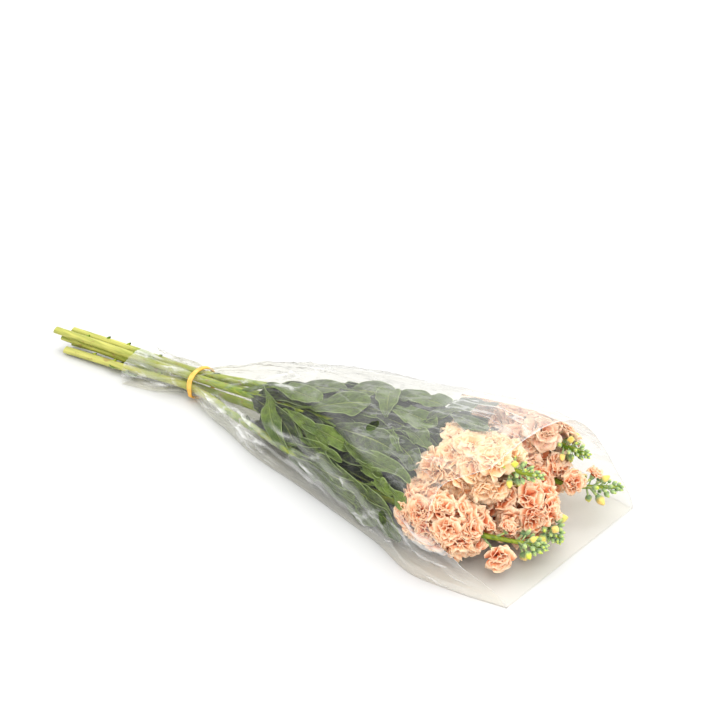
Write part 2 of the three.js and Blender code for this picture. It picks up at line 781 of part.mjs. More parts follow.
function bloomParts(key) {
  const curve = CURVES[key];
  const { bloom, florets } = STEMS[key];
  const draw = makeDraw(key.charCodeAt(0) * 17);
  const [first, last] = bloom.map((x) => alongAt(curve, x));
  const knots = Array.from({ length: CORE_KNOTS }, (_, i) => {
    return curve.getPointAt(THREE.MathUtils.lerp(first, last, i / (CORE_KNOTS - 1)));
  });
  const axis = new THREE.CatmullRomCurve3(knots);
  const bulge = (x, share) => {
    const round = Math.sin(Math.PI * THREE.MathUtils.lerp(CORE_ENDS, 1 - CORE_ENDS, share)) ** CORE_POWER;
    return Math.max(CORE_END_RADIUS, CORE_RADIUS * round);
  };
  const core = welded(makeTube(axis, bulge, STEM_SIDES, CORE_STEPS));
  const parts = [moveVertices(core, (point) => press(point))];
  for (let i = 0; i < florets; i++) {
    const share = (i + 0.5) / florets;
    const along = THREE.MathUtils.lerp(first, last, THREE.MathUtils.lerp(BLOOM_ENDS, 1 - BLOOM_ENDS, share));
    const tangent = curve.getTangentAt(along);
    const lean = THREE.MathUtils.lerp(...FLORET_LEAN, share);
    const out = sideways(tangent, i * GOLDEN_ANGLE + FLORET_TURN);
    const base = curve.getPointAt(along).addScaledVector(out, FLORET_SEAT * Math.cos(lean));
    const facing = out.multiplyScalar(Math.cos(lean)).addScaledVector(tangent, Math.sin(lean)).normalize();
    parts.push(makeFloret(base, facing, 1 - FLORET_SHRINK * Math.max(0, share - 0.5), draw));
  }
  return parts;
}

// Everything on one side of the plane between two blooms
function farSide(from, to) {
  const box = new THREE.BoxGeometry(PUNCH_LENGTH, PUNCH_LENGTH, PUNCH_LENGTH);
  box.translate(0, (PUNCH_LENGTH - GAP) / 2, 0);
  return toSolid(place(box, to.clone().sub(from).normalize(), from.clone().lerp(to, 0.5)));
}

const KEYS = Object.keys(STEMS);
const tubes = Object.fromEntries(KEYS.map((key) => [key, toSolid(stemTube(key))]));
const bores = Object.fromEntries(KEYS.map((key) => [key, toSolid(stemTube(key, BORE_GAP))]));
const bloomCentres = Object.fromEntries(
  KEYS.map((key) => {
    const middle = (STEMS[key].bloom[0] + STEMS[key].bloom[1]) / 2;
    return [key, CURVES[key].getPointAt(alongAt(CURVES[key], middle))];
  }),
);
const blooms = {};
const bloomRoom = {};
for (const key of KEYS) {
  const parts = bloomParts(key);
  let bloom = union(parts.map(toSolid)).subtract(union(Object.values(bores)));
  let room = union(parts.map((part) => toSolid(grown(part, GROW))));
  for (const other of KEYS) {
    if (other === key) continue;
    const beyond = farSide(bloomCentres[key], bloomCentres[other]);
    bloom = bloom.subtract(beyond);
    room = room.subtract(beyond);
  }
  blooms[key] = mainBody(bloom);
  bloomRoom[key] = room;
}

// Lone florets and the stalks that carry them
const lone = {};
const stalks = Object.fromEntries(KEYS.map((key) => [key, []]));
for (const [name, [key, x, base, axis, size]] of Object.entries(LONE_FLORETS)) {
  const root = CURVES[key].getPointAt(alongAt(CURVES[key], x));
  const seat = new THREE.Vector3(...base);
  const facing = new THREE.Vector3(...axis).normalize();
  const bend = root.clone().lerp(seat, STALK_BEND).addScaledVector(facing, -STALK_SAG);
  const stalk = new THREE.QuadraticBezierCurve3(root, bend, seat);
  stalks[key].push(toSolid(makeTube(stalk, () => STALK_RADIUS, STALK_SIDES, STALK_STEPS)));
  const draw = makeDraw(name.length + key.charCodeAt(0));
  const floret = makeFloret(seat.clone().addScaledVector(facing, GAP), facing, size, draw);
  const carried = union([bores[key], ...Object.values(bloomRoom)]);
  lone[name] = mainBody(toSolid(floret).subtract(carried));
  bloomRoom[name] = toSolid(grown(floret, GROW));
}

const stems = {};
let taken = union([...Object.values(bloomRoom), ...Object.values(blooms)]);
for (const key of ORDER) {
  const soft = [...leavesOf(key), ...budsOf(key)];
  const others = KEYS.filter((other) => other !== key).map((other) => bores[other]);
  const cut = union(soft.map(toSolid)).subtract(union([...others, taken]));
  const own = [tubes[key], cut, ...stalks[key], ...stubsOf(key).map(toSolid)];
  stems[key] = mainBody(union(own));
  taken = taken.add(union(soft.map((part) => toSolid(grown(part, GROW)))));
}

const group = new THREE.Group();
group.add(toMesh("film_sleeve", makeSleeve(), CLEAR_FILM));
group.add(toMesh("rubber_band", makeBand(), BAND_RUBBER));
for (const key of KEYS) {
  group.add(toMesh(`stem_${key}`, stems[key], STEM_GREEN));
  group.add(toMesh(`bloom_${key}`, blooms[key], key === "a" || key === "b" ? PALE_PEACH : PEACH));
}
for (const [name, floret] of Object.entries(lone)) {
  group.add(toMesh(name, floret, PEACH));
}

export default group;
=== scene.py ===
"""Tied bunch of double stock in a clear film sleeve, lying on its side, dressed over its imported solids.

X runs from the cut ends to the flowers, Y across the bunch, Z up from the surface it lies on.
Everything is in metres, except in the tables that say that they are in millimetres.
"""

import bisect
import functools
import math

import bmesh
import bpy
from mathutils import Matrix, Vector, noise


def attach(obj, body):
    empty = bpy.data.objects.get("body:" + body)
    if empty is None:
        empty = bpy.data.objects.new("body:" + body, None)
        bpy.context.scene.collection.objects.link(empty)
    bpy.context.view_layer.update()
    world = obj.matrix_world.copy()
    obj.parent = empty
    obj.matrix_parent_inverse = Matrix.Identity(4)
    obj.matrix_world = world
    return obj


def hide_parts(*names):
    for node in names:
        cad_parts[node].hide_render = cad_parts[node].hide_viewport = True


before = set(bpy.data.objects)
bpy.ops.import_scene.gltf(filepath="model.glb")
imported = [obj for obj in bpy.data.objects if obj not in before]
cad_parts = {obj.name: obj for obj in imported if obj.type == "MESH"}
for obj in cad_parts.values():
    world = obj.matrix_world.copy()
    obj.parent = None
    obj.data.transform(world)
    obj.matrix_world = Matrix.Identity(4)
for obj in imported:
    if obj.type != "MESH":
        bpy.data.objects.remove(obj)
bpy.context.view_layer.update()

TURN = 2 * math.pi
GOLDEN_ANGLE = math.pi * (3 - math.sqrt(5))

# Driving dimensions
NECK_X = -0.127
TAIL_X = -0.205
MOUTH_X = 0.325
NECK_FLOOR = 0.0022
NECK_LIFT = 0.0075
NECK_LENGTH = 0.012
LIFT_REACH = 0.040
HOLE_RADIUS = 0.006
# Milk on the holes' rims: painted highlight along the cut edge
HOLE_RIM_HIGHLIGHT = 0.35
# Vent holes: middle, the axis they are punched along, and the greatest y that they reach
HOLES = (
    ((0.137, -0.046, 0.0), 2, 1.0),
    ((0.190, 0.0, 0.032), 1, -0.05),
)
ARCH_FAR = 0.66
ARCH_NEAR = 0.56
HEM_RISE = 2.5
BAND_WIDTH = 0.0032
BAND_THICKNESS = 0.0013
BAND_TILT = 0.0016
STEM_RADIUS = 0.0042
CUT_SLANT = 0.0016
STALK_RADIUS = 0.0013
LEAF_THICKNESS = 0.0005
FLORET_SEAT = 0.0105
BUD_LENGTH = 0.0078
CLEAR = 0.0013
SIDE_CLEAR = 0.0015
FILM_ROOM = 0.0007
HEART = 0.38
SOFTNESS = 0.012
MOST_GIVE = 0.3
LEAST_GIVE = 1e-5
LEAST_REACH = 0.001
HALVINGS = 16

# The sleeve's cross-sections: x, half-width on the near side, half-width on the far side, height
SECTIONS = (
    (TAIL_X, 0.036, 0.021, 0.029),
    (-0.168, 0.027, 0.0195, 0.026),
    (-0.133, 0.0178, 0.0175, 0.021),
    (-0.121, 0.0178, 0.0175, 0.021),
    (-0.108, 0.0215, 0.022, 0.028),
    (-0.092, 0.026, 0.031, 0.038),
    (-0.060, 0.035, 0.050, 0.050),
    (0.0, 0.055, 0.072, 0.066),
    (0.060, 0.066, 0.086, 0.079),
    (0.114, 0.078, 0.092, 0.088),
    (0.179, 0.093, 0.098, 0.099),
    (0.239, 0.112, 0.104, 0.108),
    (0.280, 0.108, 0.105, 0.105),
    (MOUTH_X, 0.0995, 0.0995, 0.093),
)

# How far the upper layer's front edge stands back, from the far corner of the mouth (0) to the near one (1)
RECESS = (
    (0.0, 0.0),
    (0.07, 0.026),
    (0.15, 0.040),
    (0.3, 0.047),
    (0.5, 0.047),
    (0.66, 0.050),
    (0.8, 0.080),
    (0.9, 0.079),
    (0.96, 0.050),
    (1.0, 0.0),
)
STRAIGHT_END = -0.020

# Stems: centreline from the cut end to the tip in millimetres, and in metres along x where the florets start
# and stop and where the buds start
STEMS = {
    "a": {
        "path": (
            (-319, -23, 20.5), (-220, -13, 21), (-127, -5.2, 21.8), (-40, -12, 34), (60, -26, 52),
            (150, -33, 65), (220, -28, 74), (270, -26, 79), (301, -21, 82),
        ),
        "bloom": (0.207, 0.264), "florets": 22, "fullness": 1.12, "buds": 0.268,
    },
    "b": {
        "path": (
            (-310, -7, 16.5), (-220, 0, 19), (-127, 5.2, 21.8), (-40, 16, 32), (60, 36, 44),
            (150, 53, 55), (220, 61, 62), (270, 62, 62), (296, 62, 62),
        ),
        "bloom": (0.172, 0.262), "florets": 22, "fullness": 1.22, "buds": 0.268,
    },
    "c": {
        "path": (
            (-306, -11, 5), (-220, 0.5, 8), (-127, 11.7, 11.5), (-40, 18, 17), (60, 24, 20),
            (150, 32, 24), (220, 44, 29), (259, 47, 33), (286, 51, 32), (303, 72, 27), (317, 89, 24),
        ),
        "bloom": (0.212, 0.268), "florets": 17, "fullness": 1.0, "buds": 0.298,
    },
    "d": {
        "path": (
            (-300, -28, 5), (-220, -20, 8), (-127, -11, 11.8), (-40, -33, 17), (60, -56, 24),
            (150, -71, 33), (230, -77, 38), (268, -66, 33), (298, -45, 26), (317, -33, 23),
        ),
        "bloom": (0.201, 0.270), "florets": 22, "fullness": 0.9, "buds": 0.300,
    },
    "e": {
        "path": (
            (-314, -18, 12), (-220, -9.5, 11), (-127, 0, 7.4), (-40, -5, 17), (60, -12, 24),
            (150, -18, 31), (240, -15, 39), (285, -10, 38), (303, -10, 29), (317, -10, 18),
        ),
        "bloom": (0.244, 0.298), "florets": 17, "fullness": 1.0, "buds": 0.304,
    },
}
STEM_TAPER = ((-0.320, STEM_RADIUS), (0.110, 0.0039), (0.240, 0.0031), (0.317, 0.0017))

# Leaves under the upper layer: stem, x of the root, tip, width, swell of the middle, in millimetres
SHOWN_LEAVES = (
    ("a", -52, (50, -65, 14), 22, (12, -14, 24)),
    ("a", -40, (62, -34, 76), 28, (0, -4, 18)),
    ("a", -4, (98, 2, 94), 38, (-6, -14, 20)),
    ("a", 10, (116, -68, 66), 28, (-4, -10, 24)),
    ("a", 48, (152, -26, 104), 34, (-4, 4, 18)),
    ("a", 58, (178, -76, 84), 36, (-6, -8, 22)),
    ("a", 92, (196, -30, 108), 34, (-6, 6, 16)),
    ("a", 106, (206, -68, 92), 30, (-4, -8, 12)),
    ("a", 128, (234, 4, 114), 24, (0, -14, 18)),
    ("b", -34, (52, 4, 85), 28, (0, -8, 22)),
    ("b", 4, (104, 34, 92), 34, (0, -6, 24)),
    ("b", 38, (134, 8, 98), 36, (0, -14, 24)),
    ("b", 58, (152, 60, 88), 34, (0, 2, 20)),
    ("b", 80, (178, 12, 106), 36, (0, -12, 22)),
    ("b", 110, (216, 34, 112), 30, (0, -10, 26)),
    ("d", -30, (60, -72, 50), 26, (0, -8, 20)),
    ("d", 4, (100, -80, 38), 28, (0, -10, 12)),
    ("d", 40, (146, -92, 24), 30, (0, -14, 0)),
    ("d", 74, (176, -96, 56), 30, (0, -10, 16)),
    ("d", 100, (208, -98, 74), 30, (0, -6, 22)),
    ("d", 56, (188, -96, 36), 30, (0, -14, 4)),
    ("a", 116, (204, -60, 62), 26, (0, -10, 2)),
    ("d", 110, (206, -92, 52), 24, (0, -8, 10)),
    ("e", -14, (98, -58, 38), 28, (0, -12, 16)),
)

# Torn leaves left on the bare stems: stem, x of the root, tip, width, in millimetres
SCRAPS = (
    ("d", -236, (-196, -36, 4), 11),
    ("b", -150, (-104, 10, 28), 10),
)

# Leaves against the film on the near side: stem, then start of the blade, tip and width in millimetres,
# wildness, tint (the leaf's tone, set low on deeper leaves as painted shade), layer
FRONT_LEAVES = (
    ("a", (-28, -14, 55), (54, -64, 17), 15, 0.7, 0.75, -3),
    ("a", (-29, -9, 55), (52, -21, 70), 26, 0.5, 0.75, 1),
    ("a", (87, -48, 65), (171, -63, 77), 31, 0.15, 0.3, 1),
    ("a", (45, -34, 64), (103, -9, 83), 40, 0.15, 0.6, 2),
    ("a", (49, -48, 52), (120, -61, 60), 18, 1.8, 0.9, 1),
    ("a", (24, -40, 54), (93, -64, 46), 19, 0.9, 0.9, 2),
    ("a", (54, -57, 41), (116, -70, 45), 14, 0.8, 1.0, 1),
    ("a", (111, -59, 59), (205, -86, 67), 21, 0.9, 0.75, 2),
    ("a", (160, -79, 54), (187, -90, 47), 15, 1.5, 1.0, 0),
    ("d", (175, -84, 53), (210, -98, 52), 14, 1.5, 1.0, 0),
    ("a", (134, -71, 55), (169, -80, 56), 12, 1.5, 0.8, 1),
    ("b", (55, 4, 76), (109, 16, 85), 42, 0.6, 0.5, 2),
    ("b", (136, -29, 85), (105, 20, 85), 26, 0.6, 0.7, 0),
    ("b", (127, -11, 87), (190, -23, 97), 30, 0.6, 0.7, 1),
    ("b", (113, 21, 85), (171, 16, 95), 44, 0.6, 0.6, 2),
    ("a", (118, -22, 81), (178, -40, 87), 23, 0.4, 0.05, 4),
    ("a", (153, -42, 84), (180, -64, 79), 8, 0.8, 0.9, 0),
    ("a", (150, -44, 80), (203, -74, 79), 25, 0.4, 0.2, 3),
    ("a", (158, -36, 86), (204, -55, 90), 18, 0.7, 0.65, 2),
    ("a", (178, -25, 95), (197, 28, 99), 22, 0.3, 0.3, -4),
    ("b", (177, 23, 96), (215, 35, 101), 26, 0.3, 0.2, -3),
    ("a", (190, -3, 100), (242, -19, 106), 17, 0.3, 0.35, -4),
    ("d", (57, -62, 26), (161, -85, 34), 28, 0.5, 0.5, -3),
    ("d", (108, -74, 30), (194, -96, 32), 24, 0.6, 0.45, -2),
    ("d", (52, -60, 35), (124, -76, 37), 18, 0.6, 0.4, -2),
    ("d", (141, -80, 24), (204, -100, 26), 22, 0.6, 0.35, -3),
    ("d", (45, -60, 20), (118, -77, 17), 23, 0.6, 0.45, -3),
    ("d", (91, -70, 17), (175, -90, 14), 26, 0.6, 0.5, -3),
    ("d", (144, -82, 14), (213, -104, 19), 21, 0.6, 0.4, -3),
    ("b", (-3, 1, 63), (62, 4, 77), 30, 0.3, 0.5, 3),
    ("a", (175, -27, 89), (219, -53, 91), 19, 0.3, 0.1, 6),
    ("b", (175, 10, 94), (208, 8, 100), 28, 0.3, 0.1, 6),
)
FRONT_STEP = 0.0011

# Leaves on the far side and underneath: stem, first root, last root, count, turn round it
HIDDEN_LEAVES = (
    ("b", 0.0, 0.110, 2, 0.1),
    ("c", -0.040, 0.140, 4, -0.3),
    ("e", -0.030, 0.150, 4, -1.5),
)
HIDDEN_LENGTH = (0.092, 0.118)
HIDDEN_WIDTH = (0.024, 0.030)
HIDDEN_LEAN = (0.42, 0.67)
HIDDEN_SPREAD = (-0.45, 0.55)
HIDDEN_SWELL = 0.1
LEAF_STALK = 0.0015
LEAF_TIP = 0.0012
LEAF_FOLD = 0.16
LEAF_WAVE = 0.002
LEAF_WAVES = (0.9, 1.9)
LEAF_MIDDLE = 0.55
OUTWARD_CENTRE = 0.25
LAYER_STEP = 0.0016
LAYERS = 4
LEAF_SOFTNESS = 0.007
LEAF_ROOT_POWER = 0.9
LEAF_TIP_POWER = 0.45

# Florets that stand apart from their bloom: stem, x of the stalk's root, base of the floret, axis, size
LONE_FLORETS = {
    "floret_c_lower": ("c", 0.276, (0.286, 0.050, 0.036), (0.65, -0.35, 0.5), 0.66),
    "floret_c_upper": ("c", 0.291, (0.298, 0.067, 0.0365), (0.35, 0.45, 0.8), 0.44),
    "floret_d_lower": ("d", 0.272, (0.286, -0.062, 0.0185), (0.65, -0.5, 0.05), 0.74),
    "floret_d_upper": ("d", 0.279, (0.288, -0.051, 0.035), (0.4, 0.2, 0.9), 0.45),
}
STALK_SAG = 0.003
STALK_BEND = 0.6

# Camera, in metres and degrees
CAMERA_AIM = Vector((-0.0495, 0.1611, 0.0))
CAMERA_DISTANCE = 1.8
CAMERA_AZIMUTH = 39.7
CAMERA_ELEVATION = 28.0
CAMERA_LENS = 85.0


def metres(value):
    """Numbers of a table in millimetres, in metres."""
    if isinstance(value, tuple):
        return tuple(metres(part) for part in value)
    return value / 1000


def rows_for(key, table):
    """A stem's rows of a table without its letter, each with its number in the table in front."""
    return [(i, *row) for i, (stem, *row) in enumerate(table) if stem == key]


def make_draw(seed):
    """Repeatable random numbers from 0 to 1."""
    mask = 0xFFFFFFFF
    state = seed

    def draw():
        nonlocal state
        state = (state + 0x6D2B79F5) & mask
        mixed = ((state ^ (state >> 15)) * (1 | state)) & mask
        mixed = ((mixed + (((mixed ^ (mixed >> 7)) * (61 | mixed)) & mask)) & mask) ^ mixed
        return (mixed ^ (mixed >> 14)) / 2**32

    return draw


def lerp(low, high, share):
    return low + (high - low) * share


def smooth(low, high, value):
    """0 below low, 1 above high, and an even rise between them."""
    share = min(1.0, max(0.0, (value - low) / (high - low)))
    return share * share * (3 - 2 * share)


def between(rise, full, last, end, value):
    """An even rise to 1 from rise to full, and a fall back to 0 from last to end."""
    return smooth(rise, full, value) * (1 - smooth(last, end, value))


def bell(value, width):
    return math.exp(-((value / width) ** 2))


def through(knots, x, column=1):
    """The value at x of a smooth line through knots that never overshoots them."""
    last = len(knots) - 1
    if x <= knots[0][0]:
        return knots[0][column]
    if x >= knots[last][0]:
        return knots[last][column]
    at = next(i for i in range(last) if x < knots[i + 1][0])

    def climb(i):
        return (knots[i + 1][column] - knots[i][column]) / (knots[i + 1][0] - knots[i][0])

    def slope(i):
        before = climb(max(0, i - 1))
        after = climb(min(last - 1, i))
        return 2 * before * after / (before + after) if before * after > 0 else 0.0

    span = knots[at + 1][0] - knots[at][0]
    t = (x - knots[at][0]) / span
    level = lerp(knots[at][column], knots[at + 1][column], 3 * t**2 - 2 * t**3)
    leaning = slope(at) * (t**3 - 2 * t**2 + t) + slope(at + 1) * (t**3 - t**2)
    return level + leaning * span


class Section:
    """The sleeve's form at x."""

    def __init__(self, x):
        near = through(SECTIONS, x, 1)
        far = through(SECTIONS, x, 2)
        beyond = max(0.0, abs(x - NECK_X) - NECK_LENGTH / 2)
        bare = max(0.0, 1 - (beyond / LIFT_REACH) ** 2)
        self.middle = (far - near) / 2
        self.half = (far + near) / 2
        self.height = through(SECTIONS, x, 3)
        self.lift = NECK_LIFT * bare * bare
        self.floor = NECK_FLOOR * bare * bare

    def holds(self, y, z, margin):
        """Whether a place lies inside the section drawn in by a margin."""
        across = (y - self.middle) / (self.half - margin - SIDE_CLEAR)
        if abs(across) >= 1 or z < self.lift + margin:
            return False
        angle = math.acos(across)
        return z < self.lift + (self.height - margin) * math.sin(angle) ** arch_power(angle)


def arch_power(angle):
    """Exponent of the arch at an angle round it, from the far side (0) to the near one."""
    return lerp(ARCH_FAR, ARCH_NEAR, smooth(0.0, 1.0, angle / math.pi))


@functools.lru_cache(maxsize=None)
def section_near(x):
    return Section(x)


def press(place, layer=0.0, softness=SOFTNESS):
    """Draws a place in from the film, so that leaves and petals lie against it, the later layers deeper."""
    form = section_near(round(place.x, 4))
    margin = FILM_ROOM + CLEAR + layer
    heart = form.lift + form.height * HEART
    y = place.y - form.middle
    z = place.z - heart
    reach = math.hypot(y, z)
    free = (reach + softness) / max(reach, LEAST_REACH)
    if reach < LEAST_REACH or form.holds(form.middle + y * free, heart + z * free, margin):
        return place
    low, high = 0.0, form.half + form.height
    for _ in range(HALVINGS):
        far = (low + high) / 2
        if form.holds(form.middle + y / reach * far, heart + z / reach * far, margin):
            low = far
        else:
            high = far
    soft = max(min(softness, low * MOST_GIVE), LEAST_GIVE)
    start = low - soft
    if reach > start:
        reach_now = start + soft * (1 - math.exp(-(reach - start) / soft))
        place.y = form.middle + y / reach * reach_now
        place.z = heart + z / reach * reach_now
    return place


class Route:
    """A smooth line through places. A share of it is a share of its length."""

    STEPS = 24
    TANGENT_STEP = 0.002

    def __init__(self, knots):
        knots = [Vector(knot) for knot in knots]
        ends = [2 * knots[0] - knots[1], *knots, 2 * knots[-1] - knots[-2]]
        self.places = []
        for p0, p1, p2, p3 in zip(ends, ends[1:], ends[2:], ends[3:]):
            d0, d1, d2 = ((b - a).length ** 0.5 for a, b in ((p0, p1), (p1, p2), (p2, p3)))
            leave = ((p1 - p0) / d0 - (p2 - p0) / (d0 + d1) + (p2 - p1) / d1) * d1
            arrive = ((p2 - p1) / d1 - (p3 - p1) / (d1 + d2) + (p3 - p2) / d2) * d1
            for step in range(self.STEPS):
                t = step / self.STEPS
                level = p1.lerp(p2, 3 * t**2 - 2 * t**3)
                self.places.append(level + leave * (t**3 - 2 * t**2 + t) + arrive * (t**3 - t**2))
        self.places.append(knots[-1])
        self.lengths = [0.0]
        for before, after in zip(self.places, self.places[1:]):
            self.lengths.append(self.lengths[-1] + (after - before).length)
        self.length = self.lengths[-1]

    def at(self, share):
        far = min(1.0, max(0.0, share)) * self.length
        i = min(len(self.places) - 2, max(0, bisect.bisect_right(self.lengths, far) - 1))
        before, after = self.lengths[i], self.lengths[i + 1]
        return self.places[i].lerp(self.places[i + 1], (far - before) / (after - before))

    def tangent(self, share):
        return (self.at(share + self.TANGENT_STEP) - self.at(share - self.TANGENT_STEP)).normalized()

    def share_at(self, x):
        """How far along the route it passes x."""
        low, high = 0.0, 1.0
        for _ in range(HALVINGS):
            middle = (low + high) / 2
            if self.at(middle).x < x:
                low = middle
            else:
                high = middle
        return low


ROUTES = {key: Route(metres(stem["path"])) for key, stem in STEMS.items()}


def sideways(tangent, turn):
    """Direction square to a stem, turned round it from sideways (0) towards up."""
    across = Vector((-tangent.y, tangent.x, 0.0)).normalized()
    return across * math.cos(turn) + tangent.cross(across) * math.sin(turn)


def leaning(out, tangent, lean):
    """Direction between straight out of a stem (0) and along it (a quarter turn)."""
    return (out * math.cos(lean) + tangent * math.sin(lean)).normalized()


def leaf_tip(root, tangent, out, length, lean):
    """Where a leaf of a length ends that leans away from along its stem."""
    return root + tangent * (length * math.cos(lean)) + out * (length * math.sin(lean))


def outward_at(place):
    """Direction that faces out of the bunch at a place."""
    form = Section(place.x)
    y = (place.y - form.middle) / form.half**2
    z = (place.z - form.height * OUTWARD_CENTRE) / form.height**2
    return Vector((0.0, y, z)).normalized()


# Meshes: every vertex carries how far along and across its piece it lies, and its piece's tint
LAYER_NAMES = ("along", "across", "tint")
TUBE_WELD = 1e-7


class Shaper:
    """A mesh in the making, to which sheets, tubes and balls are added."""

    def __init__(self):
        self.mesh = bmesh.new()
        self.marks = [self.mesh.verts.layers.float.new(name) for name in LAYER_NAMES]

    def mark(self, vert, along, across, tint):
        for layer, value in zip(self.marks, (along, across, tint)):
            vert[layer] = value

    def sheet(self, columns, rows, place, tint=0.5):
        """A grid moved by a rule: place(across from -1 to 1, along from 0 to 1).

        The tint may be a rule too.
        """
        grid = bmesh.ops.create_grid(self.mesh, x_segments=columns, y_segments=rows, size=1.0)
        for vert in grid["verts"]:
            across, along = vert.co.x, (vert.co.y + 1) / 2
            vert.co = place(across, along)
            self.mark(vert, along, across, tint(across, along) if callable(tint) else tint)
        return grid["verts"]

    def tube(self, sides, rows, place, tint=0.5):
        """A grid rolled round: place(turn in radians, along from 0 to 1).

        Its ends are filled only where the mesh keeps the tint exactly, such as 0.
        """
        made = self.sheet(sides, rows, lambda across, along: place((across + 1) * math.pi, along), tint)
        bmesh.ops.remove_doubles(self.mesh, verts=made, dist=TUBE_WELD)
        rim = [edge for edge in self.mesh.edges if edge.is_boundary and edge.verts[0][self.marks[2]] == tint]
        bmesh.ops.holes_fill(self.mesh, edges=rim)

    def ball(self, sides, rings, place, tint=0.5):
        """A ball moved by a rule: place(unit vector)."""
        made = bmesh.ops.create_uvsphere(self.mesh, u_segments=sides, v_segments=rings, radius=1.0)
        for vert in made["verts"]:
            unit = vert.co.copy()
            vert.co = place(unit)
            self.mark(vert, (unit.z + 1) / 2, 0.0, tint)

    def done(self, name, finishes, nodes, thickness=0.0):
        """The finished piece, which rides on the bunch and stands for its nodes."""
        bmesh.ops.recalc_face_normals(self.mesh, faces=self.mesh.faces)
        data = bpy.data.meshes.new(name)
        self.mesh.to_mesh(data)
        self.mesh.free()
        for finish in finishes:
            data.materials.append(finish)
        data.polygons.foreach_set("use_smooth", [True] * len(data.polygons))
        piece = bpy.data.objects.new(name, data)
        bpy.context.scene.collection.objects.link(piece)
        if thickness:
            wall = piece.modifiers.new("Wall", "SOLIDIFY")
            wall.thickness = thickness
            wall.offset = 0.0
        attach(piece, "root")
        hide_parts(*nodes)


# Finishes
class Value:
    """A socket of a finish. Operators on it add Math nodes."""

    def __init__(self, finish, socket):
        self.finish = finish
        self.socket = socket

    def math(self, operation, first, second=0.0):
        return self.finish.node("ShaderNodeMath", {"operation": operation}, {0: first, 1: second})

    def __add__(self, other):
        return self.math("ADD", self, other)

    def __sub__(self, other):
        return self.math("SUBTRACT", self, other)

    def __rsub__(self, other):
        return self.math("SUBTRACT", other, self)

    def __mul__(self, other):
        return self.math("MULTIPLY", self, other)

    def __pow__(self, other):
        return self.math("POWER", self, other)

    def __abs__(self):
        return self.math("ABSOLUTE", self)

    __radd__ = __add__
    __rmul__ = __mul__

    def sine(self):
        return self.math("SINE", self)

    def step(self, low, high):
        """0 below low, 1 above high, and an even rise between them."""
        inputs = {"Value": self, "From Min": low, "From Max": high}
        return self.finish.node("ShaderNodeMapRange", {"interpolation_type": "SMOOTHSTEP"}, inputs)


class Finish:
    """A material, and the way its nodes are added."""

    def __init__(self, name):
        self.material = bpy.data.materials.new(name)
        self.material.use_nodes = True
        self.tree = self.material.node_tree
        self.tree.nodes.clear()

    def node(self, kind, settings=None, inputs=None, output=0):
        made = self.tree.nodes.new(kind)
        for key, value in (settings or {}).items():
            setattr(made, key, value)
        for key, value in (inputs or {}).items():
            if isinstance(value, Value):
                self.tree.links.new(value.socket, made.inputs[key])
            else:
                made.inputs[key].default_value = value
        return Value(self, made.outputs[output]) if made.outputs else None

    def attribute(self, name):
        return self.node("ShaderNodeAttribute", {"attribute_name": name}, output=2)

    def noise(self, scale, detail=3.0, stretch=(1.0, 1.0, 1.0), roughness=0.5):
        place = self.node("ShaderNodeTexCoord", output=3)
        drawn = self.node("ShaderNodeMapping", inputs={"Vector": place, "Scale": stretch})
        inputs = {"Vector": drawn, "Scale": scale, "Detail": detail, "Roughness": roughness}
        return self.node("ShaderNodeTexNoise", inputs=inputs)

    def mix(self, first, second, factor):
        """One colour over another, by a factor from 0 to 1."""
        inputs = {0: factor, 6: first, 7: second}
        return self.node("ShaderNodeMix", {"data_type": "RGBA", "clamp_factor": True}, inputs, output=2)

    def bump(self, height, distance, strength=1.0):
        inputs = {"Height": height, "Distance": distance, "Strength": strength}
        return self.node("ShaderNodeBump", inputs=inputs)

    def surface(self, **inputs):
        """A Principled surface, whose sockets are named with underscores for spaces."""
        named = {key.replace("_", " "): value for key, value in inputs.items()}
        return self.node("ShaderNodeBsdfPrincipled", inputs=named)

    def end(self, shader):
        self.node("ShaderNodeOutputMaterial", inputs={"Surface": shader})
        return self.material

    def plain(self, **inputs):
        """The finished material, whose only shader is a Principled surface."""
        return self.end(self.surface(**inputs))


def lit_through(weight, radius, scale):
    """The sockets of a Principled surface for light that spreads inside it."""
    return {"Subsurface_Weight": weight, "Subsurface_Radius": radius, "Subsurface_Scale": scale}


def colour(red, green, blue):
    """A colour as it looks on screen, from 0 to 255, as the nodes' own numbers."""

    def straight(value):
        share = value / 255
        return share / 12.92 if share <= 0.04045 else ((share + 0.055) / 1.055) ** 2.4

    return (straight(red), straight(green), straight(blue), 1.0)


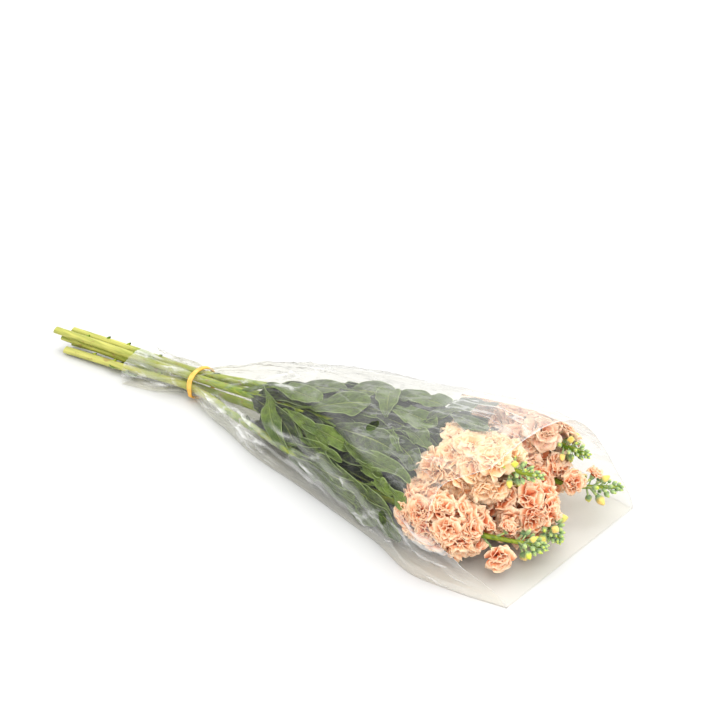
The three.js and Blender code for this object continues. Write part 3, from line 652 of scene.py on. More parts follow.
def leaf_finish():
    """A felted blade with a pale rib, side veins, mottling and a pale edge. The tint sets each leaf's tone,
    and low tints on deeper leaves paint shade on them.
    """
    dark_and_shade, light, rib_tone = colour(8, 18, 5), colour(99, 122, 42), colour(164, 178, 92)
    finish = Finish("leaf")
    along = finish.attribute("along")
    across = abs(finish.attribute("across"))
    tint = finish.attribute("tint")
    mottle = finish.noise(150.0, 6.0, roughness=0.65)
    grain = finish.noise(430.0, 3.0, roughness=0.6)
    blotch = finish.noise(26.0, 3.0)
    # Each leaf's tint lightens or darkens it: the low tints of deeper leaves are painted shade. The blade
    # also gets lighter towards its tip.
    lightness = (mottle * 0.6 + grain * 0.4).step(0.3, 0.7) * 0.8 + tint * 1.0 + along * 0.2 - 0.6
    blade = finish.mix(dark_and_shade, light, lightness)
    blade = finish.mix(blade, colour(48, 74, 24), blotch.step(0.45, 0.7) * 0.55)
    slant = (along * 62.0 - across * 16.0 + blotch * 5.0).sine()
    veins = slant.step(0.75, 1.0) * (1.0 - across.step(0.75, 1.0)) * mottle * 0.22
    rib = (1.0 - across.step(0.02, 0.075)) * (1.0 - along.step(0.7, 1.0) * 0.7)
    edge = across.step(0.91, 0.99) * 0.5
    coloured = finish.mix(blade, rib_tone, veins)
    coloured = finish.mix(coloured, rib_tone, rib * 0.5)
    coloured = finish.mix(coloured, colour(176, 196, 130), edge)
    felt = finish.noise(900.0, 2.0)
    height = felt * 0.25 + grain * 0.5 + mottle * 0.6 - veins * 1.6 - rib * 1.2
    return finish.plain(
        Base_Color=coloured,
        Roughness=mottle * 0.2 + 0.5,
        Specular_IOR_Level=0.25,
        Sheen_Weight=0.08,
        Sheen_Roughness=0.5,
        **lit_through(0.08, (0.3, 0.6, 0.2), 0.002),
        Normal=finish.bump(height, 0.0008, 1.0),
    )


def stem_finish():
    """Ribbed, fibrous stem: straw and olive at the cut end, green towards the flowers, with brown scars."""
    finish = Finish("stem")
    along = finish.attribute("along")
    tint = finish.attribute("tint")
    fibre = finish.noise(420.0, 4.0, (0.03, 1.0, 1.0))
    patch = finish.noise(26.0, 2.0, (0.5, 1.0, 1.0))
    pale = finish.mix(colour(190, 188, 88), colour(126, 138, 40), fibre.step(0.3, 0.68))
    pale = finish.mix(pale, colour(216, 208, 124), tint.step(0.2, 1.0) * 0.5)
    green = finish.mix(colour(84, 118, 20), colour(156, 168, 46), fibre.step(0.3, 0.7))
    body = finish.mix(pale, green, (along + patch * 0.4 - 0.2).step(0.12, 0.42))
    body = finish.mix(body, colour(108, 136, 34), patch.step(0.56, 0.8) * 0.6)
    spots = finish.noise(190.0, 1.0, (0.6, 1.0, 1.0)).step(0.64, 0.72)
    body = finish.mix(body, colour(150, 112, 66), spots * 0.55)
    return finish.plain(
        Base_Color=body,
        Roughness=fibre * 0.25 + 0.38,
        Specular_IOR_Level=0.4,
        Normal=finish.bump(fibre + spots * 0.5, 0.0007, 0.8),
    )


def cut_finish():
    """The cut end: a pale pith mottled with browner fibres."""
    finish = Finish("cut_end")
    grain = finish.noise(900.0, 3.0)
    body = finish.mix(colour(220, 214, 160), colour(172, 150, 96), grain.step(0.35, 0.75))
    return finish.plain(Base_Color=body, Roughness=0.75, Normal=finish.bump(grain, 0.0008, 0.9))


# Near-white petal edge: partly the petal's paler edge, partly painted highlight
RIM_PALE_AND_HIGHLIGHT = colour(255, 223, 189)


def petal_finish(name, *tones):
    """A thin petal, finely veined, with the tones of its rim, its face and its depth.

    The lighter rim tone and the near-white edge are partly the petal's paler edge and partly painted
    highlight;
    the depth tone at its base is partly its deeper colour and partly painted shade in the floret's hollows.
    """
    rim, face, deep_tone_and_shade = (colour(*tone_and_shade) for tone_and_shade in tones)
    finish = Finish(name)
    along = finish.attribute("along")
    across = finish.attribute("across")
    tint = finish.attribute("tint")
    wash = finish.noise(160.0, 3.0)
    body = finish.mix(face, rim, along.step(0.55, 1.0) * 0.7 + tint * 0.6 - 0.2)
    body = finish.mix(body, face, wash.step(0.45, 0.75) * 0.35)
    # Painted highlight along the petal's edge, over its paler rim
    body = finish.mix(body, RIM_PALE_AND_HIGHLIGHT, along.step(0.8, 0.97) * 0.8)
    # The petal's base turns to the deep tone: partly its deeper colour, partly painted shade in the floret's
    # hollows
    body = finish.mix(deep_tone_and_shade, body, along.step(0.15, 0.86))
    lines = (across * 34.0 + wash * 4.0).sine().step(0.5, 1.0) * 0.14
    body = finish.mix(body, deep_tone_and_shade, lines)
    grain = finish.noise(700.0, 2.0)
    crumple = finish.noise(260.0, 3.0) * 1.6
    return finish.plain(
        Base_Color=body,
        Roughness=grain * 0.15 + 0.55,
        Specular_IOR_Level=0.2,
        **lit_through(0.12, (1.0, 0.5, 0.3), 0.003),
        Normal=finish.bump(grain * 0.3 + crumple + lines, 0.0009, 0.8),
    )


def bud_finish():
    """A bud: ribbed sepals, blue-green at the base, yellow and peach where the petals break through."""
    finish = Finish("bud")
    along = finish.attribute("along")
    tint = finish.attribute("tint")
    down = finish.noise(600.0, 2.0)
    patch = finish.noise(120.0, 2.0)
    paleness = down.step(0.3, 0.75) * 0.4 + along**2.0 * 0.9
    sepal = finish.mix(colour(104, 140, 96), colour(188, 206, 132), paleness)
    ripe = finish.mix(colour(200, 214, 62), colour(246, 200, 120), tint.step(0.7, 1.0))
    body = finish.mix(sepal, ripe, (along * 0.8 + tint * 0.62 + patch * 0.25 - 0.2).step(0.62, 1.0))
    return finish.plain(
        Base_Color=body,
        Roughness=0.6,
        Specular_IOR_Level=0.35,
        Sheen_Weight=0.3,
        **lit_through(0.1, (0.4, 0.6, 0.2), 0.002),
        Normal=finish.bump(down, 0.0004, 0.8),
    )


def film_finish():
    """Clear film that shines at a glance and is milky along its creases.

    The milky layer also carries painted reflection where the film is dull, and painted highlight along its
    cut edges and hole rims; it is whiter on the creases and towards the tail and the mouth.
    """
    finish = Finish("clear_film")
    along = finish.attribute("along")
    crease_and_veil = finish.attribute("tint")
    streaks = finish.noise(34.0, 4.0, (0.3, 1.0, 1.0), 0.6)
    fine = finish.noise(150.0, 3.0, (0.3, 1.0, 1.0))
    calm = 1.0 - along.step(0.75, 0.92) * (1.0 - crease_and_veil.step(0.3, 0.6)) * 0.85
    normal = finish.bump((streaks + fine * 0.2) * calm, 0.0012, 0.5)
    facing = finish.node("ShaderNodeLayerWeight", inputs={"Blend": 0.5, "Normal": normal}, output=1)
    # Milky line along the film's cut edges: painted highlight
    edge = along.step(0.9955, 0.9985)
    wrinkles = finish.noise(46.0, 3.0, (0.22, 1.0, 1.0), 0.55)
    lines = (1.0 - abs(wrinkles * 2.0 - 1.0)).step(0.93, 0.99)
    lines *= crease_and_veil * 0.34 + 0.02 * (1.0 - along.step(0.6, 0.8))
    streaky = streaks.step(0.52, 0.74) * crease_and_veil * (0.3 - along.step(0.7, 0.9) * 0.26)
    haze = facing**4.0 * 0.3 + streaky + crease_and_veil * 0.26 + edge * 0.26 + lines + 0.003
    # The clear layer's warm tint is painted light: the warm glow that the flowers bounce into the shade
    # under the film
    clear = finish.node("ShaderNodeBsdfTransparent", inputs={"Color": (0.98, 0.971, 0.938, 1.0)})
    ends = along.step(0.55, 0.8) * 0.6 + (1.0 - along.step(0.16, 0.3)) * 0.5
    cloud = finish.mix((0.46, 0.46, 0.445, 1.0), (0.78, 0.78, 0.76, 1.0), crease_and_veil.step(0.3, 0.7) + ends)
    milk_and_veil_layer = finish.surface(Base_Color=cloud, Roughness=0.35, Normal=normal)
    body = finish.node("ShaderNodeMixShader", inputs={0: haze, 1: clear, 2: milk_and_veil_layer})
    gloss = finish.node("ShaderNodeBsdfAnisotropic", inputs={"Roughness": 0.12, "Normal": normal})
    shine = 0.015 + facing**6.0 * 0.5 + crease_and_veil * 0.05
    return finish.end(finish.node("ShaderNodeMixShader", inputs={0: shine, 1: body, 2: gloss}))


def band_finish():
    """Soft rubber with a dusty, slightly uneven surface."""
    finish = Finish("band_rubber")
    dust = finish.noise(500.0, 3.0)
    patch = finish.noise(120.0, 2.0)
    body = finish.mix(colour(222, 158, 48), colour(244, 196, 96), patch.step(0.3, 0.75))
    return finish.plain(
        Base_Color=body,
        Roughness=dust * 0.25 + 0.35,
        **lit_through(0.15, (0.8, 0.4, 0.1), 0.001),
        Normal=finish.bump(dust, 0.0003, 0.5),
    )


def floor_finish():
    finish = Finish("floor")
    return finish.plain(Base_Color=(0.62, 0.62, 0.616, 1.0), Roughness=0.6, Specular_IOR_Level=0.2)


LEAF = leaf_finish()
STEM = stem_finish()
CUT = cut_finish()
# Each finish's tones: rim (lighter, partly painted highlight), face, and depth (darker, partly painted
# shade)
PALE_PETAL = petal_finish("pale_petal", (255, 221, 181), (255, 200, 148), (255, 174, 112))
BLUSH_PETAL = petal_finish("blush_petal", (255, 228, 210), (255, 212, 186), (255, 188, 152))
PEACH_PETAL = petal_finish("peach_petal", (252, 203, 163), (243, 148, 101), (188, 62, 26))
BUD = bud_finish()
FILM = film_finish()
BAND = band_finish()


# Sleeve
ARCH_COLUMNS = 132
FLAT_COLUMNS = 44
ARCH_SHARE = ARCH_COLUMNS / (ARCH_COLUMNS + FLAT_COLUMNS)
SLEEVE_ROWS = 240
ASIDE_STEP = 0.004
PLEATS = 13
PLEAT_HEIGHT = 0.0034
WELD = 1e-6


def sleeve_place(around, x):
    """A place on the plain sleeve: around it from 0 at the far side, over the top, and back underneath."""
    form = Section(x)
    if around <= ARCH_SHARE:
        angle = math.pi * smooth(0.0, 1.0, around / ARCH_SHARE)
        up = math.sin(angle) ** arch_power(angle) if 0 < angle < math.pi else 0.0
        return Vector((x, form.middle + form.half * math.cos(angle), form.lift + form.height * up))
    across = 2 * (around - ARCH_SHARE) / (1 - ARCH_SHARE) - 1
    rise = abs(across) ** HEM_RISE
    return Vector((x, form.middle + form.half * across, lerp(form.floor, form.lift, rise)))


def sleeve_ring(around, along):
    """x of the sleeve at a share along it, drawn back over the top as the mouth's edge is."""
    station = lerp(TAIL_X, MOUTH_X, along)
    if around >= ARCH_SHARE:
        return station
    lean = max(0.0, (station - STRAIGHT_END) / (MOUTH_X - STRAIGHT_END))
    return station - lean * through(RECESS, smooth(0.0, 1.0, around / ARCH_SHARE))


# Long folds of the film: x and share round it where each starts and ends, width, height, milkiness
FOLDS = (
    (0.012, 0.583, 0.135, 0.626, 0.0045, 0.0018, 0.55),
    (0.122, 0.620, 0.205, 0.690, 0.0045, 0.0018, 0.6),
    (0.060, 0.660, 0.180, 0.720, 0.0030, 0.0014, 0.6),
    (0.195, 0.610, 0.320, 0.700, 0.0020, 0.0012, 0.45),
    (0.190, 0.640, 0.310, 0.725, 0.0022, 0.0012, 0.4),
    (0.150, 0.690, 0.300, 0.745, 0.0026, 0.0014, 0.45),
    (-0.070, 0.520, 0.004, 0.375, 0.0022, 0.0018, 0.9),
    (-0.100, 0.600, -0.005, 0.700, 0.0030, 0.0024, 0.9),
    (-0.095, 0.560, 0.055, 0.650, 0.0028, 0.0020, 0.7),
    (-0.085, 0.470, 0.030, 0.440, 0.0022, 0.0014, 0.6),
    (-0.060, 0.640, 0.120, 0.700, 0.0030, 0.0020, 0.7),
    (-0.090, 0.300, 0.060, 0.240, 0.0025, 0.0016, 0.6),
    (0.170, 0.690, 0.290, 0.640, 0.0024, 0.0012, 0.35),
    (0.010, 0.330, 0.150, 0.300, 0.0024, 0.0012, 0.4),
    # A flat row, no fold: a broad patch of milky veil over the upper far bloom, painted reflection
    (0.170, 0.330, 0.310, 0.240, 0.0340, 0.0000, 0.55),
)
GIRTH = 0.30
FOLD_SWAY = 0.0012
FOLD_REACH = 0.004
# The film is clear between these two lines round the near side, and beyond them carries a milky veil that
# paints the studio's reflection: x and share round it
CLEAR_FROM = (
    (-0.030, 0.440), (0.023, 0.470), (0.057, 0.490), (0.091, 0.510),
    (0.117, 0.530), (0.165, 0.565), (0.203, 0.575), (0.250, 0.580),
)
CLEAR_TO = (
    (-0.127, 0.560), (-0.020, 0.575), (0.005, 0.600), (0.014, 0.680), (0.042, 0.700), (0.056, 0.620),
    (0.099, 0.615), (0.133, 0.625), (0.163, 0.660), (0.195, 0.685), (0.230, 0.720),
)
# Strengths of the milky veil: painted reflection, and at the neck partly the crumpled film's own dullness
VEIL_TOP = 0.32
VEIL_SIDE = 0.34
DULL_NECK = 0.55
VEIL_MOUTH = 0.42


def reflection_veil(x, around):
    """How strong the milky veil is on the plain film at a place. Over the top, the near side and the mouth
    it is painted reflection of the studio; near the neck it is partly the gathered film's own crumpled
    dullness and partly painted reflection.
    """
    above = smooth(0.0, 0.014, through(CLEAR_FROM, x) - around) * VEIL_TOP
    below = smooth(0.0, 0.006, around - through(CLEAR_TO, x)) * VEIL_SIDE
    below *= 1 - smooth(0.738, 0.752, around) * smooth(0.15, 0.21, x)
    mouth = smooth(0.19, 0.23, x) * between(0.60, 0.64, 0.68, 0.73, around) * VEIL_MOUTH
    neck = smooth(0.575, 0.60, around) * between(-0.118, -0.10, -0.02, 0.03, x) * DULL_NECK
    return max(max(above, below, mouth) * smooth(-0.06, 0.02, x), neck)


def fold_at(x, around):
    """Height and milkiness of the long folds at a place on the film."""
    height, milk_and_veil = 0.0, 0.0
    for x0, around0, x1, around1, width, rise, white in FOLDS:
        run_x, run_around = x1 - x0, (around1 - around0) * GIRTH
        off_x, off_around = x - x0, (around - around0) * GIRTH
        share = (off_x * run_x + off_around * run_around) / (run_x**2 + run_around**2)
        aside = off_x * run_around - off_around * run_x
        aside = aside / math.hypot(run_x, run_around) + FOLD_SWAY * math.sin(x * 170 + x0 * 90)
        across = math.exp(-((aside / (width * (0.6 + 0.5 * share))) ** 4))
        line = across * between(-0.02, 0.12, 0.8, 1.05, share)
        height = max(height, rise * line)
        milk_and_veil = max(milk_and_veil, white * line)
    return height, milk_and_veil


def ridge(x, turn, rate, around_rate, shift):
    """Sharp crests that wander over the film, from 0 to 1."""
    place = Vector((x * rate + shift, around_rate * math.cos(turn), around_rate * math.sin(turn)))
    return max(0.0, 1 - abs(noise.noise(place)) * 6) ** 2


@functools.lru_cache(maxsize=None)
def film_relief(around, x):
    """How far the film stands out at a place, and how milky it is there: along its creases, plus the painted
    reflection veil of its dull regions and of the patch over the upper far bloom.
    """
    turn = around * TURN
    from_neck = abs(x - NECK_X)
    gathered = bell(from_neck, 0.06) * smooth(0.002, 0.02, from_neck)
    gathers = (0.5 + 0.5 * math.sin(PLEATS * turn + 1.7 * math.sin(2 * turn) + x * 24)) ** 2
    gathers += 0.4 * ridge(x, turn, 20, 9, 3)
    past = between(NECK_X + 0.004, NECK_X + 0.08, 0.26, MOUTH_X, x)
    crumpled = bell(max(0.0, x + 0.04), 0.08) if x > NECK_X else smooth(0.004, 0.03, from_neck)
    coarse = ridge(x, turn, 15, 2.4, 7)
    fine = ridge(x, turn, 44, 6.0, 2)
    over_stems = between(-0.12, -0.10, -0.03, 0.02, x) * between(0.30, 0.36, 0.56, 0.60, around)
    height = PLEAT_HEIGHT * gathered * gathers
    height += past * (0.0010 + 0.0016 * crumpled) * coarse + crumpled * 0.0009 * fine
    tail = smooth(0.0, 0.02, NECK_X - x)
    cloud = 0.5 + noise.noise(Vector((x * 38, 3.2 * math.cos(turn), 3.2 * math.sin(turn) + 4)))
    milk_and_veil = max(0.5 * gathered * gathers, 0.45 * coarse * (0.25 + 0.75 * crumpled), 0.4 * fine * crumpled)
    milk_and_veil += max(0.0, cloud) * (0.55 * tail + 0.22 * crumpled * past)
    fold_height, fold_milk_and_veil = fold_at(x, around)
    veil = reflection_veil(x, around)
    clear = (1 - min(1.0, veil / VEIL_TOP)) * smooth(-0.06, 0.0, x)
    milk_and_veil = max(milk_and_veil * (1 - 0.6 * max(clear, over_stems)), fold_milk_and_veil) + veil
    return (height + fold_height) * smooth(0.001, 0.008, from_neck), milk_and_veil


def punch(shaper, middle, hidden_axis, most_y):
    """A round hole through the film up to a greatest y, seen along one axis: 1 for sideways, 2 for down."""
    flat_axes = [axis for axis in range(3) if axis != hidden_axis]

    def apart(place):
        return math.hypot(*(place[axis] - middle[axis] for axis in flat_axes))

    cut = []
    for face in shaper.mesh.faces:
        centre = face.calc_center_median()
        if centre.y < most_y and apart(centre) < HOLE_RADIUS:
            cut.append(face)
    touched = {vert for face in cut for vert in face.verts}
    bmesh.ops.delete(shaper.mesh, geom=cut, context="FACES")
    for vert in touched:
        if vert.is_valid and vert.link_faces:
            grow = HOLE_RADIUS / max(apart(vert.co), WELD)
            for axis in flat_axes:
                vert.co[axis] = middle[axis] + (vert.co[axis] - middle[axis]) * grow
            # The hole's rim gets milk in its tint: painted highlight along the cut edge
            vert[shaper.marks[2]] = HOLE_RIM_HIGHLIGHT


def make_sleeve():
    shaper = Shaper()

    def spot(across, along):
        around = (across + 1) / 2 % 1.0
        return around, sleeve_ring(around, along)

    def place(across, along):
        around, x = spot(across, along)
        here = sleeve_place(around, x)
        aside = sleeve_place((around + ASIDE_STEP) % 1.0, x) - sleeve_place((around - ASIDE_STEP) % 1.0, x)
        outward = Vector((0.0, -aside.z, aside.y)).normalized()
        outward = outward if outward.dot(outward_at(here)) > 0 or around > ARCH_SHARE else -outward
        height = film_relief(around, x)[0] if around < ARCH_SHARE else 0.0
        return here + outward * height * smooth(0.0, FOLD_REACH, here.z - Section(x).lift)

    def milk_and_veil(across, along):
        return film_relief(*spot(across, along))[1]

    made = shaper.sheet(ARCH_COLUMNS + FLAT_COLUMNS, SLEEVE_ROWS, place, milk_and_veil)
    bmesh.ops.remove_doubles(shaper.mesh, verts=made, dist=WELD)
    for middle, axis, most_y in HOLES:
        punch(shaper, middle, axis, most_y)
    shaper.done("sleeve_film", [FILM], ["film_sleeve"])


BAND_X = NECK_X + 0.0035
BAND_HEART = 0.0105
BAND_RINGS = 96
BAND_SIDES = 12
BAND_ROLL = 0.35


def make_band():
    """A flat strip of rubber round the gathered neck, a little rolled."""
    shaper = Shaper()

    def place(turn, along):
        around = along % 1.0
        here = sleeve_place(around, BAND_X)
        middle = Vector((BAND_X, Section(BAND_X).middle, BAND_HEART))
        outward = here - middle
        outward.x = 0.0
        outward.normalize()
        lean = BAND_TILT * (1 - 2 * here.z / Section(NECK_X).height)
        roll = BAND_ROLL * math.sin(3 * around * TURN)
        out = math.cos(turn) * BAND_THICKNESS * 1.05
        side = math.sin(turn) * BAND_WIDTH * 0.95
        here += outward * (BAND_THICKNESS * 0.8 + out * math.cos(roll) + side * math.sin(roll) * 0.3)
        here.x += lean + side * math.cos(roll)
        return here

    made = shaper.sheet(BAND_SIDES, BAND_RINGS, lambda across, along: place((across + 1) * math.pi, along))
    bmesh.ops.remove_doubles(shaper.mesh, verts=made, dist=WELD)
    shaper.done("band", [BAND], ["rubber_band"])


# Stalks
STALK_STEP = 0.01
END_SHARE = 0.004


def direction_of(path, along):
    """Which way a path runs at a share of it."""
    return (path(min(1.0, along + STALK_STEP)) - path(max(0.0, along - STALK_STEP))).normalized()


def tapered(start, end):
    """A radius that runs evenly from start to end, as add_stalk takes it."""
    return lambda along, turn: lerp(start, end, along)


def add_stalk(shaper, path, radius_at, sides, rows, tint, slant=0.0):
    """A tube along a path, which is a function of a share from 0 to 1."""

    def place(turn, along):
        tangent = direction_of(path, along)
        here = path(along) + sideways(tangent, turn) * radius_at(along, turn)
        if along < END_SHARE:
            here += tangent * math.sin(turn) * slant
        return here

    shaper.tube(sides, rows, place, tint)


def bend(start, middle, end):
    """A path that leaves start towards middle and arrives at end."""
    return lambda share: start * (1 - share) ** 2 + middle * (2 * share * (1 - share)) + end * share**2


# Leaves
FILLERS = 8
FILLER_START = -0.045
FILLER_END = 0.125
LEAF_COLUMNS = 12
LEAF_ROWS = 36
LEAF_VEINS = 62.0
LEAF_ROOM = 0.0044
LEAF_TWIST = (-0.95, 0.95)
LEAF_DROOP = (-0.5, 1.2)
LEAF_RUFFLE = (0.5, 2.2)
LEAF_CREASE = (-0.3, 0.8)
LEAF_BOW = 0.0045
LEAF_LIFT = 0.0025
LEAF_DROP = 0.012
LEAF_FRILL = 0.0005
LEAF_GROOVE = 0.0009
LEAF_QUILT = 0.00028
LEAF_TRIM = 0.1
LEAF_STALK_ENDS = (0.0016, 0.0011)
LEAF_STALK_TINT = 0.95
LEAF_STALK_SIDES = 8
FINE_LAYER_STEP = 0.0003
SHOWN_BREADTH = 1.35
SHOWN_WILD = 0.35
# Low tones for the leaves behind the front ones and for the hidden ones: painted shade
SHOWN_SHADE_TONES = (0.05, 0.4)
BEHIND_FRONT = 0.007
FRONT_SWELL = 0.004
STALK_BACK = 0.035
STALK_HOLD = 0.4
SEAT_SHARE = 0.05
# Wildness and tint of the torn leaves
SCRAP_LOOK = (0.3, 0.8)
FILLER_LENGTH = (0.075, 0.112)
FILLER_LEAN = (0.3, 0.75)
FILLER_BREADTH = (0.3, 0.44)
FILLER_OVERLAP = 0.012
FILLER_SWELL = 0.12
FILLER_DEPTH = 0.008
FILLER_STEP = 0.004
FILLER_WILD = 0.8
# The fillers deep in the bunch get dark tones: painted shade
FILLER_SHADE_TONE = 0.15


def leaf_shape(along):
    """Half-width of a blade of unit half-width, which is widest two thirds out and blunt at the tip."""

    def form(share):
        return share**LEAF_ROOT_POWER * (1 - share) ** LEAF_TIP_POWER

    return form(along) / form(LEAF_ROOT_POWER / (LEAF_ROOT_POWER + LEAF_TIP_POWER))


def add_leaf(shaper, root, tip, width, swell, waves, phase, layer, draw, wild, tint):
    """A wavy blade along a bent rib, twisted, folded along its rib and ruffled at its edges."""
    plain = bend(root, root.lerp(tip, 0.5) + swell * 2, tip)
    twist, droop = lerp(*LEAF_TWIST, draw()) * wild, lerp(*LEAF_DROOP, draw()) * wild
    ruffle, fold = lerp(*LEAF_RUFFLE, draw()), lerp(*LEAF_CREASE, draw()) * wild
    bow = lerp(-1.0, 1.0, draw())
    # One draw goes unused, so that the later ones stay as they are
    draw()

    facing = outward_at(plain(LEAF_MIDDLE))
    crosswise = (tip - root).normalized().cross(facing).normalized()

    def rib(share):
        aside = bow * LEAF_BOW * math.sin(math.pi * share) * math.cos(2.2 * share + phase)
        up = LEAF_LIFT * math.sin(TURN * 1.3 * share + phase) * smooth(0.0, 0.3, share)
        return plain(share) + crosswise * aside + facing * (up - droop * LEAF_DROP * smooth(0.7, 1.0, share))

    def place(side, along):
        tangent = direction_of(rib, along)
        flat = tangent.cross(facing).normalized()
        turned = twist * smooth(0.1, 1.0, along)
        across = flat * math.cos(turned) + flat.cross(tangent) * math.sin(turned)
        face = across.cross(tangent)
        reach = max(lerp(LEAF_STALK, LEAF_TIP, along), width / 2 * leaf_shape(along))
        far = abs(side)
        swing = math.sin(math.pi * along) ** 0.6
        turn = TURN * waves * along + phase + math.copysign(1.3, side)
        wave = LEAF_WAVE * 2.1 * ruffle * far**1.5 * math.sin(turn) * swing
        frill = LEAF_FRILL * ruffle * far**3 * math.sin(turn * 2.7 + side) * swing
        groove = -LEAF_GROOVE * bell(side, 0.12) * (1 - along)
        quilt = LEAF_QUILT * math.sin(along * LEAF_VEINS - far * 16) * far * (1 - far) * 4
        rise = far * reach * (LEAF_FOLD + fold) + wave + frill + groove + quilt
        edge = 1 + 0.04 * math.sin(along * 19 + phase + side) * far - LEAF_TRIM * abs(fold)
        flat_place = press(rib(along) + across * (side * reach * edge), layer + LEAF_ROOM, LEAF_SOFTNESS)
        return press(flat_place + face * rise, max(0.0, layer), LEAF_ROOM)

    shaper.sheet(LEAF_COLUMNS, LEAF_ROWS, place, tint)


def leaves_of(key):
    """The shown and the hidden leaves of a stem: root, tip, width, swell, waves, phase, layer."""
    route = ROUTES[key]
    draw = make_draw(ord(key) * 7)
    leaves = []
    for i, *sizes in rows_for(key, SHOWN_LEAVES):
        x, tip, width, swell = metres(tuple(sizes))
        root = route.at(route.share_at(x))
        waves, phase = lerp(*LEAF_WAVES, draw()), draw() * TURN
        layer = i % LAYERS * LAYER_STEP + i * FINE_LAYER_STEP
        leaves.append((root, Vector(tip), width, Vector(swell), waves, phase, layer))
    for _, first, last, count, turn in rows_for(key, HIDDEN_LEAVES):
        for i in range(count):
            share = route.share_at(lerp(first, last, i / (count - 1)))
            root = route.at(share)
            tangent = route.tangent(share)
            length = lerp(*HIDDEN_LENGTH, draw())
            out = sideways(tangent, turn + HIDDEN_SPREAD[i % 2])
            lean = lerp(*HIDDEN_LEAN, draw())
            tip = leaf_tip(root, tangent, out, length, lean)
            width = lerp(*HIDDEN_WIDTH, draw())
            waves = lerp(*LEAF_WAVES, draw())
            swell = out * (length * HIDDEN_SWELL)
            leaves.append((root, tip, width, swell, waves, draw() * TURN, i % LAYERS * LAYER_STEP))
    return leaves


def make_leaves(key):
    shaper = Shaper()
    draw = make_draw(ord(key) * 5)
    for root, tip, width, swell, waves, phase, layer in leaves_of(key):
        width *= SHOWN_BREADTH
        layer += BEHIND_FRONT
        tone_and_shade = lerp(*SHOWN_SHADE_TONES, draw())
        add_leaf(shaper, root, tip, width, swell, waves, phase, layer, draw, SHOWN_WILD, tone_and_shade)
    route = ROUTES[key]
    for _, root, tip, width, wild, tone_and_shade, layer in rows_for(key, FRONT_LEAVES):
        root, tip, width = Vector(metres(root)), Vector(metres(tip)), metres(width)
        layer *= FRONT_STEP
        waves, phase = lerp(*LEAF_WAVES, draw()), draw() * TURN
        swell = outward_at(root.lerp(tip, 0.5)) * FRONT_SWELL
        add_leaf(shaper, root, tip, width, swell, waves, phase, layer, draw, wild, tone_and_shade)
        foot = route.at(route.share_at(root.x - STALK_BACK))
        seat = press(root + (tip - root) * SEAT_SHARE, layer + LEAF_ROOM, LEAF_SOFTNESS)
        stalk = bend(foot, seat.lerp(foot, STALK_HOLD), seat)
        sides = LEAF_STALK_SIDES
        add_stalk(shaper, stalk, tapered(*LEAF_STALK_ENDS), sides, sides, LEAF_STALK_TINT)
    for _, *sizes in rows_for(key, SCRAPS):
        x, tip, width = metres(tuple(sizes))
        root = route.at(route.share_at(x))
        phase = draw() * TURN
        add_leaf(shaper, root, Vector(tip), width, Vector(), 1.0, phase, 0.0, draw, *SCRAP_LOOK)
    for i in range(FILLERS):
        share = route.share_at(lerp(FILLER_START, FILLER_END, (i + draw() * 0.6) / FILLERS))
        root, tangent = route.at(share), route.tangent(share)
        out = sideways(tangent, i * GOLDEN_ANGLE + ord(key))
        length, lean = lerp(*FILLER_LENGTH, draw()), lerp(*FILLER_LEAN, draw())
        length = min(length, (STEMS[key]["bloom"][0] + FILLER_OVERLAP - root.x) / math.cos(lean))
        tip = leaf_tip(root, tangent, out, length, lean)
        width = length * lerp(*FILLER_BREADTH, draw())
        waves, phase = lerp(*LEAF_WAVES, draw()), draw() * TURN
        swell = out * (length * FILLER_SWELL)
        layer = FILLER_DEPTH + i % 3 * FILLER_STEP
        tone_and_shade = draw() * FILLER_SHADE_TONE
        add_leaf(shaper, root, tip, width, swell, waves, phase, layer, draw, FILLER_WILD, tone_and_shade)
    shaper.done(f"leaves_{key}", [LEAF], [f"stem_{key}"], thickness=LEAF_THICKNESS)


# Stems, stalks and stubs
STEM_TRIM = 0.94
STUBS_PER_STEM = 3
STUBS_START = -0.282
STUB_SPACING = 0.046
STUB_SCATTER = 0.026
STUB_TURN = (0.5, 2.7)
STUB_LEAN = 1.1
STUB_LENGTH = 0.005
STUB_SEAT = 0.55
STUB_BEND = 0.0006
STUB_ENDS = (0.0021, 0.0010)
STUB_SIDES = 8
STUB_ROWS = 4
STEM_SIDES = 20
STEM_ROWS = 160
CUT_REGION = -0.25


def make_stem(key):
    shaper = Shaper()
    route = ROUTES[key]
    draw = make_draw(ord(key) * 31)

    def radius(along, turn):
        plain = through(STEM_TAPER, route.at(along).x)
        ribs = 0.03 * math.sin(5 * turn + along * 3) + 0.02 * math.sin(9 * turn - along * 11)
        knots = 0.05 * noise.noise(Vector((along * 60, math.cos(turn), math.sin(turn))))
        return plain * (STEM_TRIM + ribs + knots)

    add_stalk(shaper, route.at, radius, STEM_SIDES, STEM_ROWS, draw(), CUT_SLANT)
    for face in shaper.mesh.faces:
        if len(face.verts) > 4 and face.calc_center_median().x < CUT_REGION:
            face.material_index = 1
    for i in range(STUBS_PER_STEM):
        share = route.share_at(STUBS_START + i * STUB_SPACING + draw() * STUB_SCATTER)
        tangent = route.tangent(share)
        out = sideways(tangent, lerp(*STUB_TURN, draw()))
        axis = (out + tangent * STUB_LEAN).normalized()
        base = route.at(share) + out * (STEM_RADIUS * STUB_SEAT)
        tip = base + axis * STUB_LENGTH
        stub = bend(base, base.lerp(tip, 0.5) + out * STUB_BEND, tip)
        add_stalk(shaper, stub, tapered(*STUB_ENDS), STUB_SIDES, STUB_ROWS, 0.02 * i + 0.01)
    shaper.done(f"stem_skin_{key}", [STEM, CUT], [f"stem_{key}"])


